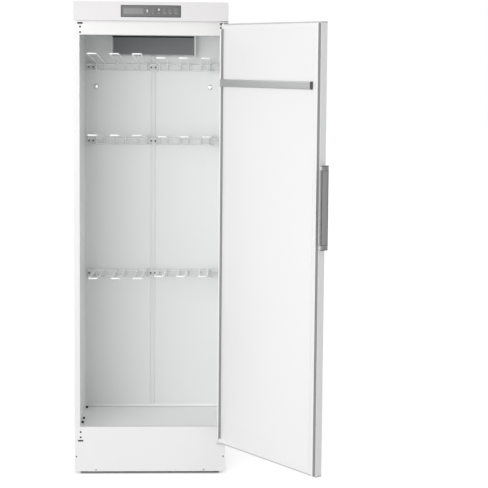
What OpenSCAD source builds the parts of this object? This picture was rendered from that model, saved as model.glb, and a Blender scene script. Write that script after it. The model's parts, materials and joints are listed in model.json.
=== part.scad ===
// Free-standing drying cabinet, shown with its door open and three rows of hinged hanging racks.
// The origin is on the floor under the middle of the cabinet body. The front faces -Y.
// Depths in the cabinet are measured back from the front frame plane, along +Y.

/* [Cabinet body] */
// Width over the side panels
cab_w = 595; // [560:5:680]
// Depth from the front frame plane to the back
cab_d = 556; // [530:2:640]
// Height of the roof above the floor
cab_top = 1847; // [1840:1:1900]
// Gap between the floor and the body
foot_gap = 10; // [9:1:20]
// Thickness of the folded steel sheet
sheet_t = 1; // [0.8:0.1:1.4]
// Width of each front stile
stile_w = 21.5; // [18:0.5:30]
// Depth of the folded return behind the stiles, the header and the lower panel
return_d = 20; // [12:1:30]
// Height of the top edge of the lower front panel above the floor
lip_z = 190; // [186:1:230]
// Height of the front header, from the roof down to the opening
header_h = 116; // [112:1:130]
// Small gap between sheets that are only laid together
seat_gap = 0.2; // [0.1:0.05:0.4]

/* [Chamber] */
// Depth of the chamber from the front frame plane to the rear liner
chamber_d = 460; // [440:2:480]
// Distance from the outside of a side panel to the face of its liner
wall_depth = 14; // [10:0.5:18]
// How far the floor of the tray lies below the lip of the opening
floor_drop = 29; // [20:1:36]
// Height of the upstand round the tray
tray_upstand = 12; // [8:1:20]
// Distance from the chamber's ceiling up from the opening's upper edge
ceiling_rise = 4; // [2:1:8]
// Width of the strip over the joint between the rear liners
seam_w = 22; // [16:1:30]
// How far the seam strip stands out
seam_t = 3; // [2:0.5:5]
// Distance of each wall fixing from the middle
fixing_x = 238; // [225:1:245]
// Distance of the wall fixings below the opening's upper edge
fixing_drop = 207; // [180:1:240]
// Diameter of the plug that hides a wall fixing
plug_d = 20; // [16:1:24]
// Diameter of the fixing holes in the rear panel
fixing_hole_d = 8; // [6:0.5:10]

/* [Door] */
// Gap between the frame plane and the inner face of the closed door
door_gap = 14.5; // [13:0.5:18]
// Thickness of the door
door_t = 29; // [26:0.5:36]
// Gap at each side between the door's edge and the side of the body
door_side_gap = 1; // [0.5:0.5:3]
// Gap between the top of the door and the fascia
door_top_gap = 9; // [8:0.5:14]
// Height of the door's lower edge above the floor
door_bottom_z = 132; // [124:1:136]
// Angle by which the door stands open
door_open = 124.75; // [60:0.25:130]
// Distance of the hinge axis from the side of the body
pivot_inset = 9; // [9:0.5:12]
// Diameter of the hinge pins
pin_d = 8; // [6:0.5:9]
// Length of the pins inside the door
pin_l = 20; // [14:1:26]
// Thickness of the hinge plates
hinge_t = 3; // [2.5:0.5:4]
// Radial clearance of a pin or shaft that turns
running_gap = 0.08; // [0.05:0.01:0.1]
// Wall of the bushes in the door
bush_wall = 2.5; // [1.5:0.25:2.5]
// Border of the liner below and above its raised field
field_border_z = 20; // [16:1:30]
// Border of the raised field at the hinge side
field_border_hinge = 20; // [20:1:26]
// Border of the raised field at the free side
field_border_free = 35; // [28:1:45]
// How far the raised field stands out
field_t = 1.5; // [1:0.25:2]
// Width of the two upright seals
seal_w = 6; // [4:0.5:6]
// Gap between the closed seals and the frame
seal_gap = 0.3; // [0.3:0.1:0.6]
// Thickness of the trim on the free edge
edge_trim_t = 1.5; // [1:0.25:2]
// Width of the stiffening channels in the door
stiffener_w = 60; // [40:2:80]
// Distance of the stiffening channels from the middle of the door
stiffener_x = 130; // [90:5:160]

/* [Door rail and handle] */
// Distance from the top of the door down to the middle of its rail
door_rail_drop = 226.5; // [180:0.5:320]
// Height of the rail's section
door_rail_h = 29; // [22:0.5:32]
// Gap between the closed rail and the frame
door_rail_gap = 1; // [0.6:0.1:1.5]
// Wall of the rail
door_rail_wall = 1.5; // [1:0.25:2]
// Radius of the rail's outer corners
door_rail_r = 5; // [3:0.5:5]
// Distance from the free edge of the door to the end of the rail
door_rail_end = 39; // [20:1:44]
// Length of the rail's end caps
rail_cap_l = 4; // [3:0.5:6]
// Distance from the bottom of the door up to the lower end of the handle
handle_rise = 831; // [700:1:900]
// Length of the handle
handle_l = 304; // [240:2:360]
// Width of the handle
handle_w = 32; // [26:1:34]
// How far the handle is set towards the inside of the door
handle_shift = 2; // [0:0.5:4]
// Thickness of the handle's bar
handle_t = 5; // [4:0.5:7]
// Gap between the bar and the edge of the door
handle_grip = 13; // [11:0.5:18]
// Length of the blocks at the handle's ends
handle_block_l = 18; // [14:1:26]

/* [Racks] */
// Diameter of the rack wire
wire_d = 6; // [4:0.25:6.5]
// Distance of the top racks' pivot wire below the opening's upper edge
rack_top_drop = 114; // [112:1:130]
// Distance of the middle racks' pivot wire below the opening's upper edge
rack_middle_drop = 422; // [400:1:470]
// Distance of the bottom racks' pivot wire below the opening's upper edge
rack_bottom_drop = 981; // [920:1:1040]
// Distance from the pivot wire down to the lower wire
rail_drop = 23; // [20:1:28]
// Distance of the pivot wire from the rear liner
rack_standoff = 12; // [11:0.5:16]
// Reach of a loop in front of its pivot wire
arm_reach = 432; // [380:2:436]
// Width of a loop between wire centres
loop_w = 34; // [28:1:40]
// Distance of the first loop from the middle of the cabinet
loop_first = 44; // [40:1:48]
// Distance between neighbouring loops
loop_pitch = 87; // [80:1:88]
// Distance by which all the loops stand to the left of their places
loop_shift = 2.5; // [0:0.5:4]
// Radius of the bends in a loop
loop_bend_r = 8; // [7:0.5:10]
// Rise of the top left rack's loops, in degrees
tilt_top_left = 4.6; // [1:0.1:6]
// Rise of the top right rack's loops, in degrees
tilt_top_right = 2.6; // [1:0.1:6]
// Rise of the middle left rack's loops, in degrees
tilt_middle_left = 3.5; // [1:0.1:6]
// Rise of the middle right rack's loops, in degrees
tilt_middle_right = 2.9; // [1:0.1:6]
// Rise of the bottom left rack's loops, in degrees
tilt_bottom_left = 3; // [1:0.1:6]
// Rise of the bottom right rack's loops, in degrees
tilt_bottom_right = 4.2; // [1:0.1:6]
// Lean of the top left rack's loops to the left, in degrees
lean_top_left = 1.3; // [-1:0.1:1.8]
// Lean of the top right rack's loops to the left, in degrees
lean_top_right = 0.4; // [-1:0.1:1.8]
// Lean of the middle left rack's loops to the left, in degrees
lean_middle_left = 1.1; // [-1:0.1:1.8]
// Lean of the middle right rack's loops to the left, in degrees
lean_middle_right = -0.4; // [-1:0.1:1.8]
// Lean of the bottom left rack's loops to the left, in degrees
lean_bottom_left = 0.6; // [-1:0.1:1.8]
// Lean of the bottom right rack's loops to the left, in degrees
lean_bottom_right = 1.2; // [-1:0.1:1.8]
// Distance of the outer brackets from the middle
bracket_x = 260; // [254:1:263]
// Width of a bracket
bracket_w = 28; // [24:1:30]
// Thickness of a bracket's plate
bracket_t = 3; // [2:0.5:4]
// Wall of a bracket's eye round the pivot wire
eye_wall = 3; // [2.5:0.25:3.5]

/* [Fascia and controls] */
// Height of the fascia
fascia_h = 72; // [66:1:80]
// How far the fascia stands above the roof
fascia_rise = 10; // [6:1:14]
// How far each end of the fascia is set in from the side of the body
fascia_inset = 2; // [1:0.5:4]
// Wall of the moulded fascia
fascia_wall = 2.5; // [2:0.25:3.5]
// Width of the control panel
panel_w = 230; // [226:2:260]
// Height of the control panel
panel_h = 46; // [42:1:50]
// Thickness of the control panel
panel_t = 3; // [2:0.5:4]
// Width of the display window
window_w = 84; // [60:2:88]
// Height of the display window
window_h = 30; // [24:1:34]
// Distance of the display window from the end of the panel
window_margin = 6; // [4:0.5:8]
// Width of a button
button_w = 15; // [12:0.5:17]
// Height of a button
button_h = 24; // [18:1:28]
// Distance between neighbouring buttons
button_pitch = 22; // [20:0.5:23]
// Distance of the first button from the middle of the panel
button_first = 8; // [4:1:10]
// Travel of a button
button_travel = 1; // [0.5:0.1:1.5]
// Gap round a button
button_gap = 0.3; // [0.2:0.05:0.5]

/* [Air system] */
// Width of the air outlet
duct_w = 340; // [300:2:344]
// Width of the flange at each side of the outlet
duct_flange = 6; // [4:0.5:8]
// How far the air duct reaches below the opening's upper edge
duct_drop = 77; // [66:1:80]
// How far the air duct stands in front of the rear liner
duct_d = 46; // [42:1:60]
// Number of bars in the outlet grille
grille_bars = 9; // [6:1:12]
// Thickness of a grille bar
grille_bar_t = 1.6; // [1.2:0.2:2.4]
// Diameter of the fan wheel
fan_d = 82; // [70:1:86]
// Width of the fan wheel
fan_w = 64; // [50:1:80]
// Number of blades of the fan wheel
fan_blades = 24; // [12:1:32]
// Diameter of the fan shaft
fan_shaft_d = 8; // [6:0.5:10]
// Distance of the fan shaft behind the frame plane
fan_y = 330; // [300:2:345]
// Diameter of the fan motor
motor_d = 70; // [60:1:76]
// Length of the fan motor
motor_l = 58; // [50:1:70]
// Outer diameter of the exhaust collar
collar_d = 125; // [100:5:125]
// Height of the exhaust collar above the roof
collar_h = 23; // [18:1:24]
// Wall of the exhaust collar
collar_wall = 2; // [1.5:0.25:3]
// Distance of the exhaust collar from the middle, to the left
collar_x = 195; // [190:1:215]
// Distance of the exhaust collar behind the frame plane
collar_y = 350; // [300:2:356]
// Diameter of the heater's tube
heater_d = 8; // [6:0.5:10]
// Diameter of the mains lead that the gland takes
lead_d = 7.4; // [6:0.2:9]

/* [Feet] */
// Distance of the feet from the middle, to each side
foot_x = 262; // [240:1:268]
// Distance of the feet from the frame plane and from the back
foot_y = 45; // [35:1:60]
// Diameter of a foot's pad
foot_d = 40; // [30:1:44]
// Height of a foot's pad
foot_pad_h = 7; // [5:0.5:8]
// Diameter of a foot's screw
foot_screw_d = 10; // [8:0.5:12]
// Length of a foot's screw above its pad
foot_screw_l = 52; // [44:1:60]
// Height of the nuts in the base
foot_nut_h = 30; // [24:1:36]

/* [Hidden] */

$fn = 64;
half_w = cab_w / 2;
front_y = -cab_d / 2;
back_y = cab_d / 2;
skin_x = half_w - sheet_t;
opening_z = cab_top - header_h;
frame_t = sheet_t;
backing_y = front_y + frame_t + seat_gap;

// chamber
liner_x = half_w - wall_depth;
liner_y = front_y + chamber_d;
floor_z = lip_z - floor_drop;
ceiling_z = opening_z + ceiling_rise;
fixing_z = opening_z - fixing_drop;
rack_top_z = opening_z - rack_top_drop;
rack_middle_z = opening_z - rack_middle_drop;
rack_bottom_z = opening_z - rack_bottom_drop;
tray_x = liner_x - seat_gap;
stile_x = half_w - stile_w;
liner_front = front_y + return_d + seat_gap;
liner_low_z = floor_z - 6 * sheet_t;
plug_rim = 2;
plug_neck = 4 * sheet_t;
clip_depths = [180, 250, 440];
clip_size = [4, 9, 5];

// door, drawn closed and then swung open about the hinge axis
pivot = [half_w - pivot_inset, front_y - door_gap - door_t / 2, 0];
door_x = half_w - door_side_gap;
door_in_y = front_y - door_gap;
door_out_y = door_in_y - door_t;
fascia_z = cab_top + fascia_rise - fascia_h;
door_top_z = fascia_z - door_top_gap;
door_r = 2.5;
field_x_hinge = door_x - field_border_hinge;
field_x_free = -door_x + field_border_free;
field_y = door_in_y + field_t;
seal_y = front_y - seal_gap;
seal_hinge_x = pivot[0] + 1.5;
bush_d = pin_d + 2 * running_gap + 2 * bush_wall;
bush_flange_d = bush_d + 2;
bush_l = pin_l + 3;
bearing_gap = 0.3;

// hinges and the covered holes for the other hand
hinge_w = 12;
hinge_x = 269;
hinge_tab = 9;
hinge_screws = [21, 42];
hinge_leg = 49;
spare_x = 273.5;
spare_slot_in = 7;
hinge_top_z = fascia_z - door_top_gap / 3;
hinge_low_z = door_bottom_z - 5;
screw_head_d = 7.5;
screw_head_t = 1.4;
slot_plug = [23, 5];
dot_plug_d = 5.5;
plug_proud = 0.8;

// door rail
door_rail_z = door_top_z - door_rail_drop;
rail_lo = door_rail_z - door_rail_h / 2;
rail_hi = door_rail_z + door_rail_h / 2;
rail_y0 = field_y + seat_gap;
rail_y1 = front_y - door_rail_gap;
rail_t = rail_y1 - rail_y0;
rail_x1 = seal_hinge_x;
rail_x0 = -door_x + door_rail_end;

// handle
handle_z = door_bottom_z + handle_rise;
grip_x = -door_x - edge_trim_t - handle_grip;
handle_y = pivot[1] + handle_shift;
trim_margin = 1;

// racks
rack_y = liner_y - rack_standoff;
weld = 0.5;
bend_swell = 0.05;
bend_bite = 0.4;
leg_y = -(wire_d - weld);
eye_d = wire_d + 2 * running_gap + 2 * eye_wall;
wire_end = 4;
wire_insert = bracket_w / 2 - wire_end;
rack_rail_l = bracket_x - wire_end - bracket_w / 2 + wire_insert;
leg_below = 2;
bracket_up = 12;
bracket_down = rail_drop + 13;
bracket_r = 4;
pad_h = 12;
bracket_screw_x = 9;
bracket_screw_z = 11.5;

// fascia and controls
fascia_x = half_w - fascia_inset;
panel_z = fascia_z + fascia_h / 2;
panel_front = door_out_y + 0.8;
panel_r = 2;
window_t = 1.5;
button_proud = 0.4;
board_size = [218, 1.6, 38];
board_gap = 2;
board_overhang = 5;
relay_x = [-80, -50, 30];
relay_size = [20, 14, 20];
button_collar = 1.5;

// air system
duct_x = duct_w / 2 + duct_flange;
duct_z = opening_z - duct_drop;
duct_y = liner_y - duct_d;
grille_y = duct_y + 3;
grille_t = 10;
fan_cy = front_y + fan_y;
scroll_gap = 6;
scroll_wall = 1.2;
scroll_r = fan_d / 2 + scroll_gap;
fan_z = ceiling_z + sheet_t + seat_gap + scroll_wall + scroll_r;
scroll_half = fan_w / 2 + 5;
inlet_d = fan_d - 16;
throat_h = 52;
throat_y0 = duct_y + 15;
throat_y1 = liner_y - sheet_t - seat_gap - scroll_wall;
motor_x = scroll_half + scroll_wall + seat_gap;
motor_tab = 6;
blade_t = 1.2;
blade_depth = 9;
blade_turn = 25;
wheel_disc_t = 2.5;
ring_t = 4;
hub_d = 20;
hub_l = 24;
shaft_past_hub = 2;
shaft_in_motor = 22;
shaft_l = motor_x + shaft_in_motor - fan_w / 2 + hub_l + shaft_past_hub;
collar_cx = -collar_x;
collar_cy = front_y + collar_y;
collar_flange = 8;
collar_neck_d = collar_d - 4;
collar_step = 2;
gland_x = 200;
gland_drop = 57;
gland_z = cab_top - gland_drop;
gland_d = 24;
gland_l = 16;
gland_flange_d = 32;
gland_flange_t = 3;
heater_rows = 3;
heater_pitch = 17;
heater_fin_d = 15;
heater_fins = 14;
heater_margin = 26;
heater_fin_t = 1.2;
heater_end = 12;
heater_post = 8;
heater_post_in = 40;
sensor_size = [30, 12, 14];
sensor_x = 225;
sensor_z = 20;

// lower panel
panel_screw_x = half_w - 7.5;
panel_screw_z = 60;
access_x = 213;
access_z = 6.5;
access_d = 7;

// feet
foot_boss_d = foot_screw_d + 12;
base_up = 26;
base_t = 1.5;

// A block between two corners
module block(a, b) {
    translate(a)
        cube(b - a);
}

// Runs an outline drawn in X and Z along Y, from y0 over a length
module along_y(y0, len) {
    translate([0, y0 + len, 0])
        rotate([90, 0, 0])
            linear_extrude(len)
                children();
}

// Runs an outline drawn in Y and Z along X, from x0 over a length
module along_x(x0, len) {
    translate([x0, 0, 0])
        rotate([90, 0, 90])
            linear_extrude(len)
                children();
}

// A centred rectangle with round corners
module round_rect(w, h, r) {
    square([w - 2 * r, h], center = true);
    square([w, h - 2 * r], center = true);
    for (sx = [-1, 1])
        for (sz = [-1, 1])
            translate([sx * (w / 2 - r), sz * (h / 2 - r)])
                circle(r);
}

// Swings what is drawn on the closed door to where the door stands
module on_door() {
    translate(pivot)
        rotate([0, 0, door_open])
            translate(-pivot)
                children();
}

// Pan-head screw whose head stands in front of a face at y, drawn at x and z
module front_screw(x, y, z, d = screw_head_d) {
    translate([x, y, z])
        rotate([90, 0, 0])
            intersection() {
                cylinder(h = screw_head_t, d = d);
                translate([0, 0, screw_head_t - d])
                    sphere(d);
            }
}

// Side panel for the left: outer skin, stile with its return, fixing flanges and rear flange
module side_panel() {
    low = foot_gap + base_t + seat_gap;
    block([-half_w, backing_y, foot_gap], [-skin_x, back_y - seat_gap, cab_top - sheet_t]);
    block([-half_w, front_y, lip_z + seat_gap], [-stile_x, front_y + frame_t, opening_z - seat_gap]);
    block([-half_w, front_y, lip_z + seat_gap], [-skin_x, backing_y + 1, opening_z - seat_gap]);
    block([-stile_x - sheet_t, front_y, lip_z + seat_gap],
        [-stile_x, front_y + return_d, opening_z - seat_gap]);
    block([-half_w, backing_y, low], [-half_w + stile_w / 2 + 4, backing_y + sheet_t, lip_z - 4 * sheet_t]);
    block([-half_w, backing_y, opening_z + 4 * sheet_t],
        [-half_w + stile_w / 2 + 4, backing_y + sheet_t, cab_top - sheet_t]);
    block([-half_w, back_y - 2 * sheet_t - seat_gap, low],
        [-half_w + stile_w, back_y - sheet_t - seat_gap, cab_top - 2 * sheet_t]);
}

module left_side_panel() {
    color("white")
        side_panel();
}

module right_side_panel() {
    color("white")
        mirror([1, 0, 0])
            side_panel();
}

module rear_panel() {
    color("gainsboro")
        difference() {
            block([-skin_x + seat_gap, back_y - sheet_t, foot_gap],
                [skin_x - seat_gap, back_y, cab_top - sheet_t - seat_gap]);
            for (s = [-1, 1])
                translate([s * fixing_x, back_y + 1, fixing_z])
                    rotate([90, 0, 0])
                        cylinder(h = sheet_t + 2, d = fixing_hole_d);
            translate([gland_x, back_y + 1, gland_z])
                rotate([90, 0, 0])
                    cylinder(h = sheet_t + 2, d = gland_d + 2 * seat_gap);
        }
}

module roof_panel() {
    color("white")
        difference() {
            union() {
                block([-half_w, front_y + frame_t + seat_gap, cab_top - sheet_t], [half_w, back_y, cab_top]);
                block([-skin_x + seat_gap + stile_w, back_y - 2 * sheet_t - seat_gap, cab_top - base_up],
                    [skin_x - seat_gap - stile_w, back_y - sheet_t - seat_gap, cab_top - sheet_t]);
            }
            translate([collar_cx, collar_cy, cab_top - 2 * sheet_t])
                cylinder(h = 3 * sheet_t, d = collar_neck_d + 2 * seat_gap);
        }
}

// Where the four feet stand
foot_spots = [for (y = [front_y + foot_y, back_y - foot_y], s = [-1, 1]) [s * foot_x, y]];

module base_frame() {
    base_x = skin_x - seat_gap;
    y0 = backing_y + sheet_t + seat_gap;
    y1 = back_y - 2 * sheet_t - 2 * seat_gap;
    color("silver")
        difference() {
            union() {
                block([-base_x, y0, foot_gap], [base_x, y1, foot_gap + base_t]);
                for (s = [-1, 1])
                    block([min(s * base_x, s * (base_x - base_t)), y0, foot_gap],
                        [max(s * base_x, s * (base_x - base_t)), y1, foot_gap + base_up]);
                block([-base_x, y0, foot_gap], [base_x, y0 + base_t, foot_gap + base_up]);
                block([-base_x, y1 - base_t, foot_gap], [base_x, y1, foot_gap + base_up]);
                for (p = foot_spots)
                    translate([p[0], p[1], foot_gap])
                        cylinder(h = foot_nut_h, d = foot_boss_d);
            }
            for (p = foot_spots)
                translate([p[0], p[1], foot_gap - 1])
                    cylinder(h = foot_nut_h + 2, d = foot_screw_d + 2 * running_gap);
        }
}

// Heights of the two hinge screws, above the lower hinge plate and below the upper one
top_screws = [for (h = hinge_screws) hinge_top_z - h];
low_screws = [for (h = hinge_screws) hinge_low_z + h];

module front_header() {
    color("white")
        difference() {
            union() {
                block([-half_w, front_y, opening_z], [half_w, front_y + frame_t, cab_top - sheet_t]);
                block([-stile_x, front_y, opening_z], [stile_x, front_y + return_d, opening_z + sheet_t]);
                block([-stile_x, front_y, cab_top - 2 * sheet_t - seat_gap],
                    [stile_x, front_y + return_d, cab_top - sheet_t - seat_gap]);
            }
            for (z = top_screws, x = [-spare_x, hinge_x])
                translate([x, front_y + 3 * sheet_t, z])
                    rotate([90, 0, 0])
                        cylinder(h = 5 * sheet_t, d = dot_plug_d - 1);
            along_y(front_y - 1, frame_t + 2)
                translate([-spare_x, hinge_top_z - spare_slot_in])
                    square(slot_plug - [1, 1], center = true);
        }
}

module lower_front_panel() {
    color("white")
        difference() {
            union() {
                block([-half_w, front_y, foot_gap], [half_w, front_y + frame_t, lip_z]);
                block([-stile_x, front_y, lip_z - sheet_t], [stile_x, front_y + return_d, lip_z]);
                block([-stile_x, front_y + return_d - sheet_t, floor_z],
                    [stile_x, front_y + return_d, lip_z]);
            }
            for (z = low_screws, x = [-spare_x, hinge_x])
                translate([x, front_y + 3 * sheet_t, z])
                    rotate([90, 0, 0])
                        cylinder(h = 5 * sheet_t, d = dot_plug_d - 1);
            along_y(front_y - 1, frame_t + 2)
                translate([-spare_x, hinge_low_z + spare_slot_in])
                    square(slot_plug - [1, 1], center = true);
            for (s = [-1, 1])
                translate([s * access_x, front_y + 3 * sheet_t, foot_gap + access_z])
                    rotate([90, 0, 0])
                        cylinder(h = 5 * sheet_t, d = access_d);
        }
}

// Moulded fascia: a pan open at the back, with an opening for the control panel
module fascia() {
    depth = door_gap + door_t - seat_gap;
    color("white")
        difference() {
            along_y(door_out_y, depth)
                translate([0, panel_z])
                    round_rect(2 * fascia_x, fascia_h, panel_r);
            along_y(door_out_y + fascia_wall, depth)
                translate([0, panel_z])
                    square([2 * (fascia_x - fascia_wall), fascia_h - 2 * fascia_wall], center = true);
            along_y(door_out_y - 1, fascia_wall + 2)
                translate([0, panel_z])
                    round_rect(panel_w + 2 * seat_gap, panel_h + 2 * seat_gap, panel_r);
        }
}

button_x = [for (i = [0:4]) button_first + i * button_pitch];
window_x = -panel_w / 2 + window_margin + window_w / 2;

module control_panel() {
    color("dimgray")
        difference() {
            union() {
                along_y(panel_front, panel_t)
                    translate([0, panel_z])
                        round_rect(panel_w, panel_h, panel_r);
                along_y(door_out_y + fascia_wall + seat_gap, panel_t)
                    translate([0, panel_z])
                        round_rect(panel_w + 8, panel_h + 8, panel_r);
            }
            along_y(panel_front - 1, window_t + 1)
                translate([window_x, panel_z])
                    square([window_w + 2 * seat_gap, window_h + 2 * seat_gap], center = true);
            for (x = button_x)
                along_y(panel_front - 1, 4 * panel_t)
                    translate([x, panel_z])
                        square([button_w + 2 * button_gap, button_h + 2 * button_gap], center = true);
        }
}

module display_window() {
    color("gray")
        along_y(panel_front, window_t - seat_gap)
            translate([window_x, panel_z])
                square([window_w, window_h], center = true);
}

// A button with its collar behind the panel, which stops it from falling out
module push_button(i) {
    behind = door_out_y + fascia_wall + seat_gap + panel_t + seat_gap;
    color("slategray") {
        along_y(panel_front - button_proud, behind - panel_front + button_proud)
            translate([button_x[i], panel_z])
                square([button_w, button_h], center = true);
        along_y(behind, button_collar)
            translate([button_x[i], panel_z])
                square([button_w + 3, button_h + 3], center = true);
    }
}

module button_1() {
    push_button(0);
}

module button_2() {
    push_button(1);
}

module button_3() {
    push_button(2);
}

module button_4() {
    push_button(3);
}

module button_5() {
    push_button(4);
}

// Circuit board on four posts behind the control panel, with its switches and relay
module control_board() {
    back = door_out_y + fascia_wall + seat_gap + panel_t;
    y0 = back + seat_gap + button_collar + button_travel + board_gap;
    color("darkgreen") {
        block([-board_size[0] / 2 - board_overhang, y0, panel_z - board_size[2] / 2],
            [board_size[0] / 2 + board_overhang, y0 + board_size[1], panel_z + board_size[2] / 2]);
        for (sx = [-1, 1])
            for (sz = [-1, 1])
                translate([sx * board_size[0] / 2, y0, panel_z + sz * (panel_h / 2 - 8)])
                    rotate([90, 0, 0])
                        cylinder(h = y0 - back - seat_gap, d = 5);
        for (x = relay_x)
            translate([x, y0, panel_z - relay_size[2] / 2])
                cube(relay_size);
    }
}

// Liner for the left: face, front flange against the stile's return
module side_liner() {
    block([-liner_x - sheet_t, liner_front, liner_low_z], [-liner_x, liner_y, ceiling_z - seat_gap]);
    block([-liner_x - sheet_t, liner_front, lip_z + seat_gap],
        [-stile_x - sheet_t + 0.8, liner_front + sheet_t, opening_z - seat_gap]);
}

module left_liner() {
    color("whitesmoke")
        side_liner();
}

module right_liner() {
    color("whitesmoke")
        mirror([1, 0, 0])
            side_liner();
}

// Rear liner for the left half, with the hole for its wall plug
module rear_liner() {
    difference() {
        block([-skin_x + seat_gap, liner_y, liner_low_z],
            [-seat_gap / 2, liner_y + sheet_t, ceiling_z - seat_gap]);
        translate([-fixing_x, liner_y + sheet_t + 1, fixing_z])
            rotate([90, 0, 0])
                cylinder(h = sheet_t + 2, d = plug_d - 2 * plug_rim);
    }
}

module rear_liner_left() {
    color("whitesmoke")
        rear_liner();
}

module rear_liner_right() {
    color("whitesmoke")
        mirror([1, 0, 0])
            rear_liner();
}

// Cover strip over the joint of the rear liners, with bevelled sides
module rear_seam_strip() {
    flat = seam_w / 2 - seam_t;
    top = duct_z - sheet_t - seat_gap;
    color("white")
        difference() {
            translate([0, 0, floor_z + tray_upstand + 2])
                linear_extrude(top - floor_z - tray_upstand - 2)
                    polygon([[-seam_w / 2, liner_y], [-flat, liner_y - seam_t], [flat, liner_y - seam_t],
                        [seam_w / 2, liner_y]]);
            for (z = [rack_top_z, rack_middle_z, rack_bottom_z])
                block([-seam_w, liner_y - 2 * seam_t, z - bracket_down - seat_gap],
                    [seam_w, liner_y + 1, z + bracket_up + seat_gap]);
        }
}

module ceiling_liner() {
    x = skin_x - seat_gap;
    color("whitesmoke")
        difference() {
            block([-x, liner_front, ceiling_z], [x, liner_y + sheet_t, ceiling_z + sheet_t]);
            block([-scroll_half, throat_y0, ceiling_z - 1],
                [scroll_half, throat_y1, ceiling_z + 2 * sheet_t]);
            translate([collar_cx, collar_cy, ceiling_z - 1])
                cylinder(h = sheet_t + 2, d = collar_neck_d - 2 * collar_wall);
        }
}

// Floor tray with an upstand all round, the front one up to the lip
module floor_tray() {
    y0 = front_y + return_d + seat_gap;
    y1 = liner_y - seat_gap;
    color("whitesmoke")
        difference() {
            union() {
                block([-tray_x, y0, floor_z - sheet_t], [tray_x, y1, floor_z + tray_upstand]);
                block([-stile_x, y0, floor_z - sheet_t], [stile_x, y0 + sheet_t, lip_z - 2 * sheet_t]);
            }
            block([-tray_x + sheet_t, y0 + sheet_t, floor_z],
                [tray_x - sheet_t, y1 - sheet_t, lip_z + 1]);
        }
}

// Dark clips that hold the tray's sides
module tray_clips() {
    color("black")
        for (s = [-1, 1])
            for (d = clip_depths)
                translate([s * (tray_x - sheet_t - clip_size[0] / 2), front_y + d, floor_z])
                    translate([0, 0, clip_size[2] / 2])
                        cube(clip_size, center = true);
}

// Sheet-metal air duct under the ceiling: a box with an open front and a flange at each side
module air_duct() {
    y1 = liner_y - seat_gap;
    z1 = ceiling_z - seat_gap;
    color("lightgray")
        difference() {
            block([-duct_x, duct_y, duct_z - sheet_t], [duct_x, y1, z1]);
            block([-duct_w / 2, duct_y - 1, duct_z], [duct_w / 2, y1 - sheet_t, z1 + 1]);
            for (s = [-1, 1])
                block([min(s * (duct_w / 2 + sheet_t), s * (duct_x + 1)), duct_y + sheet_t, duct_z - 2],
                    [max(s * (duct_w / 2 + sheet_t), s * (duct_x + 1)), y1 + 1, z1 + 1]);
        }
}

// Outlet grille: a frame with level bars
module fan_grille() {
    w = duct_w - 2 * seat_gap;
    z0 = duct_z + seat_gap;
    z1 = opening_z + ceiling_rise - sheet_t;
    pitch = (z1 - z0) / (grille_bars + 1);
    color("darkslategray") {
        difference() {
            block([-w / 2, grille_y, z0], [w / 2, grille_y + grille_t, z1]);
            block([-w / 2 + 3, grille_y - 1, z0 + 2], [w / 2 - 3, grille_y + grille_t + 1, z1 - 2]);
        }
        for (i = [1:grille_bars])
            block([-w / 2 + 2, grille_y, z0 + i * pitch - grille_bar_t / 2],
                [w / 2 - 2, grille_y + grille_t, z0 + i * pitch + grille_bar_t / 2]);
        for (x = [-w / 4, 0, w / 4])
            block([x - grille_bar_t / 2, grille_y + 2, z0 + 1],
                [x + grille_bar_t / 2, grille_y + grille_t - 2, z1 - 1]);
    }
}

// Outline of the scroll in Y and Z, with its throat towards the back
module scroll_outline(grow) {
    circle(scroll_r + grow);
    translate([0, -scroll_r - grow])
        square([throat_y1 - fan_cy + grow, throat_h + 2 * grow]);
}

module fan_scroll() {
    color("silver")
        difference() {
            translate([0, fan_cy, fan_z])
                along_x(-scroll_half - scroll_wall, 2 * (scroll_half + scroll_wall))
                    scroll_outline(scroll_wall);
            translate([0, fan_cy, fan_z])
                along_x(-scroll_half, 2 * scroll_half)
                    scroll_outline(0);
            block([-scroll_half, throat_y0, ceiling_z], [scroll_half, throat_y1, fan_z]);
            translate([-scroll_half - 2 * scroll_wall, fan_cy, fan_z])
                rotate([0, 90, 0])
                    cylinder(h = 3 * scroll_wall, d = inlet_d);
            translate([scroll_half - scroll_wall, fan_cy, fan_z])
                rotate([0, 90, 0])
                    cylinder(h = 3 * scroll_wall, d = fan_shaft_d + 6);
        }
}

// Drum wheel: closed disc at the motor's side, curved-forward blades, rings and shaft
module fan_impeller() {
    r = fan_d / 2;
    color("darkgray")
        translate([0, fan_cy, fan_z])
            rotate([0, 90, 0]) {
                translate([0, 0, fan_w / 2 - wheel_disc_t])
                    cylinder(h = wheel_disc_t, d = fan_d);
                translate([0, 0, -fan_w / 2])
                    difference() {
                        cylinder(h = ring_t, d = fan_d);
                        translate([0, 0, -1])
                            cylinder(h = ring_t + 2, d = fan_d - 2 * blade_depth + 2);
                    }
                for (i = [0:fan_blades - 1])
                    rotate([0, 0, i * 360 / fan_blades])
                        translate([r - blade_depth / 2 - 0.6, 0, -fan_w / 2 + 1])
                            rotate([0, 0, blade_turn])
                                translate([-blade_depth / 2, -blade_t / 2, 0])
                                    cube([blade_depth, blade_t, fan_w - wheel_disc_t]);
                translate([0, 0, fan_w / 2 - hub_l])
                    cylinder(h = hub_l, d = hub_d);
                translate([0, 0, fan_w / 2 - hub_l - shaft_past_hub])
                    cylinder(h = shaft_l, d = fan_shaft_d);
            }
}

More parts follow.
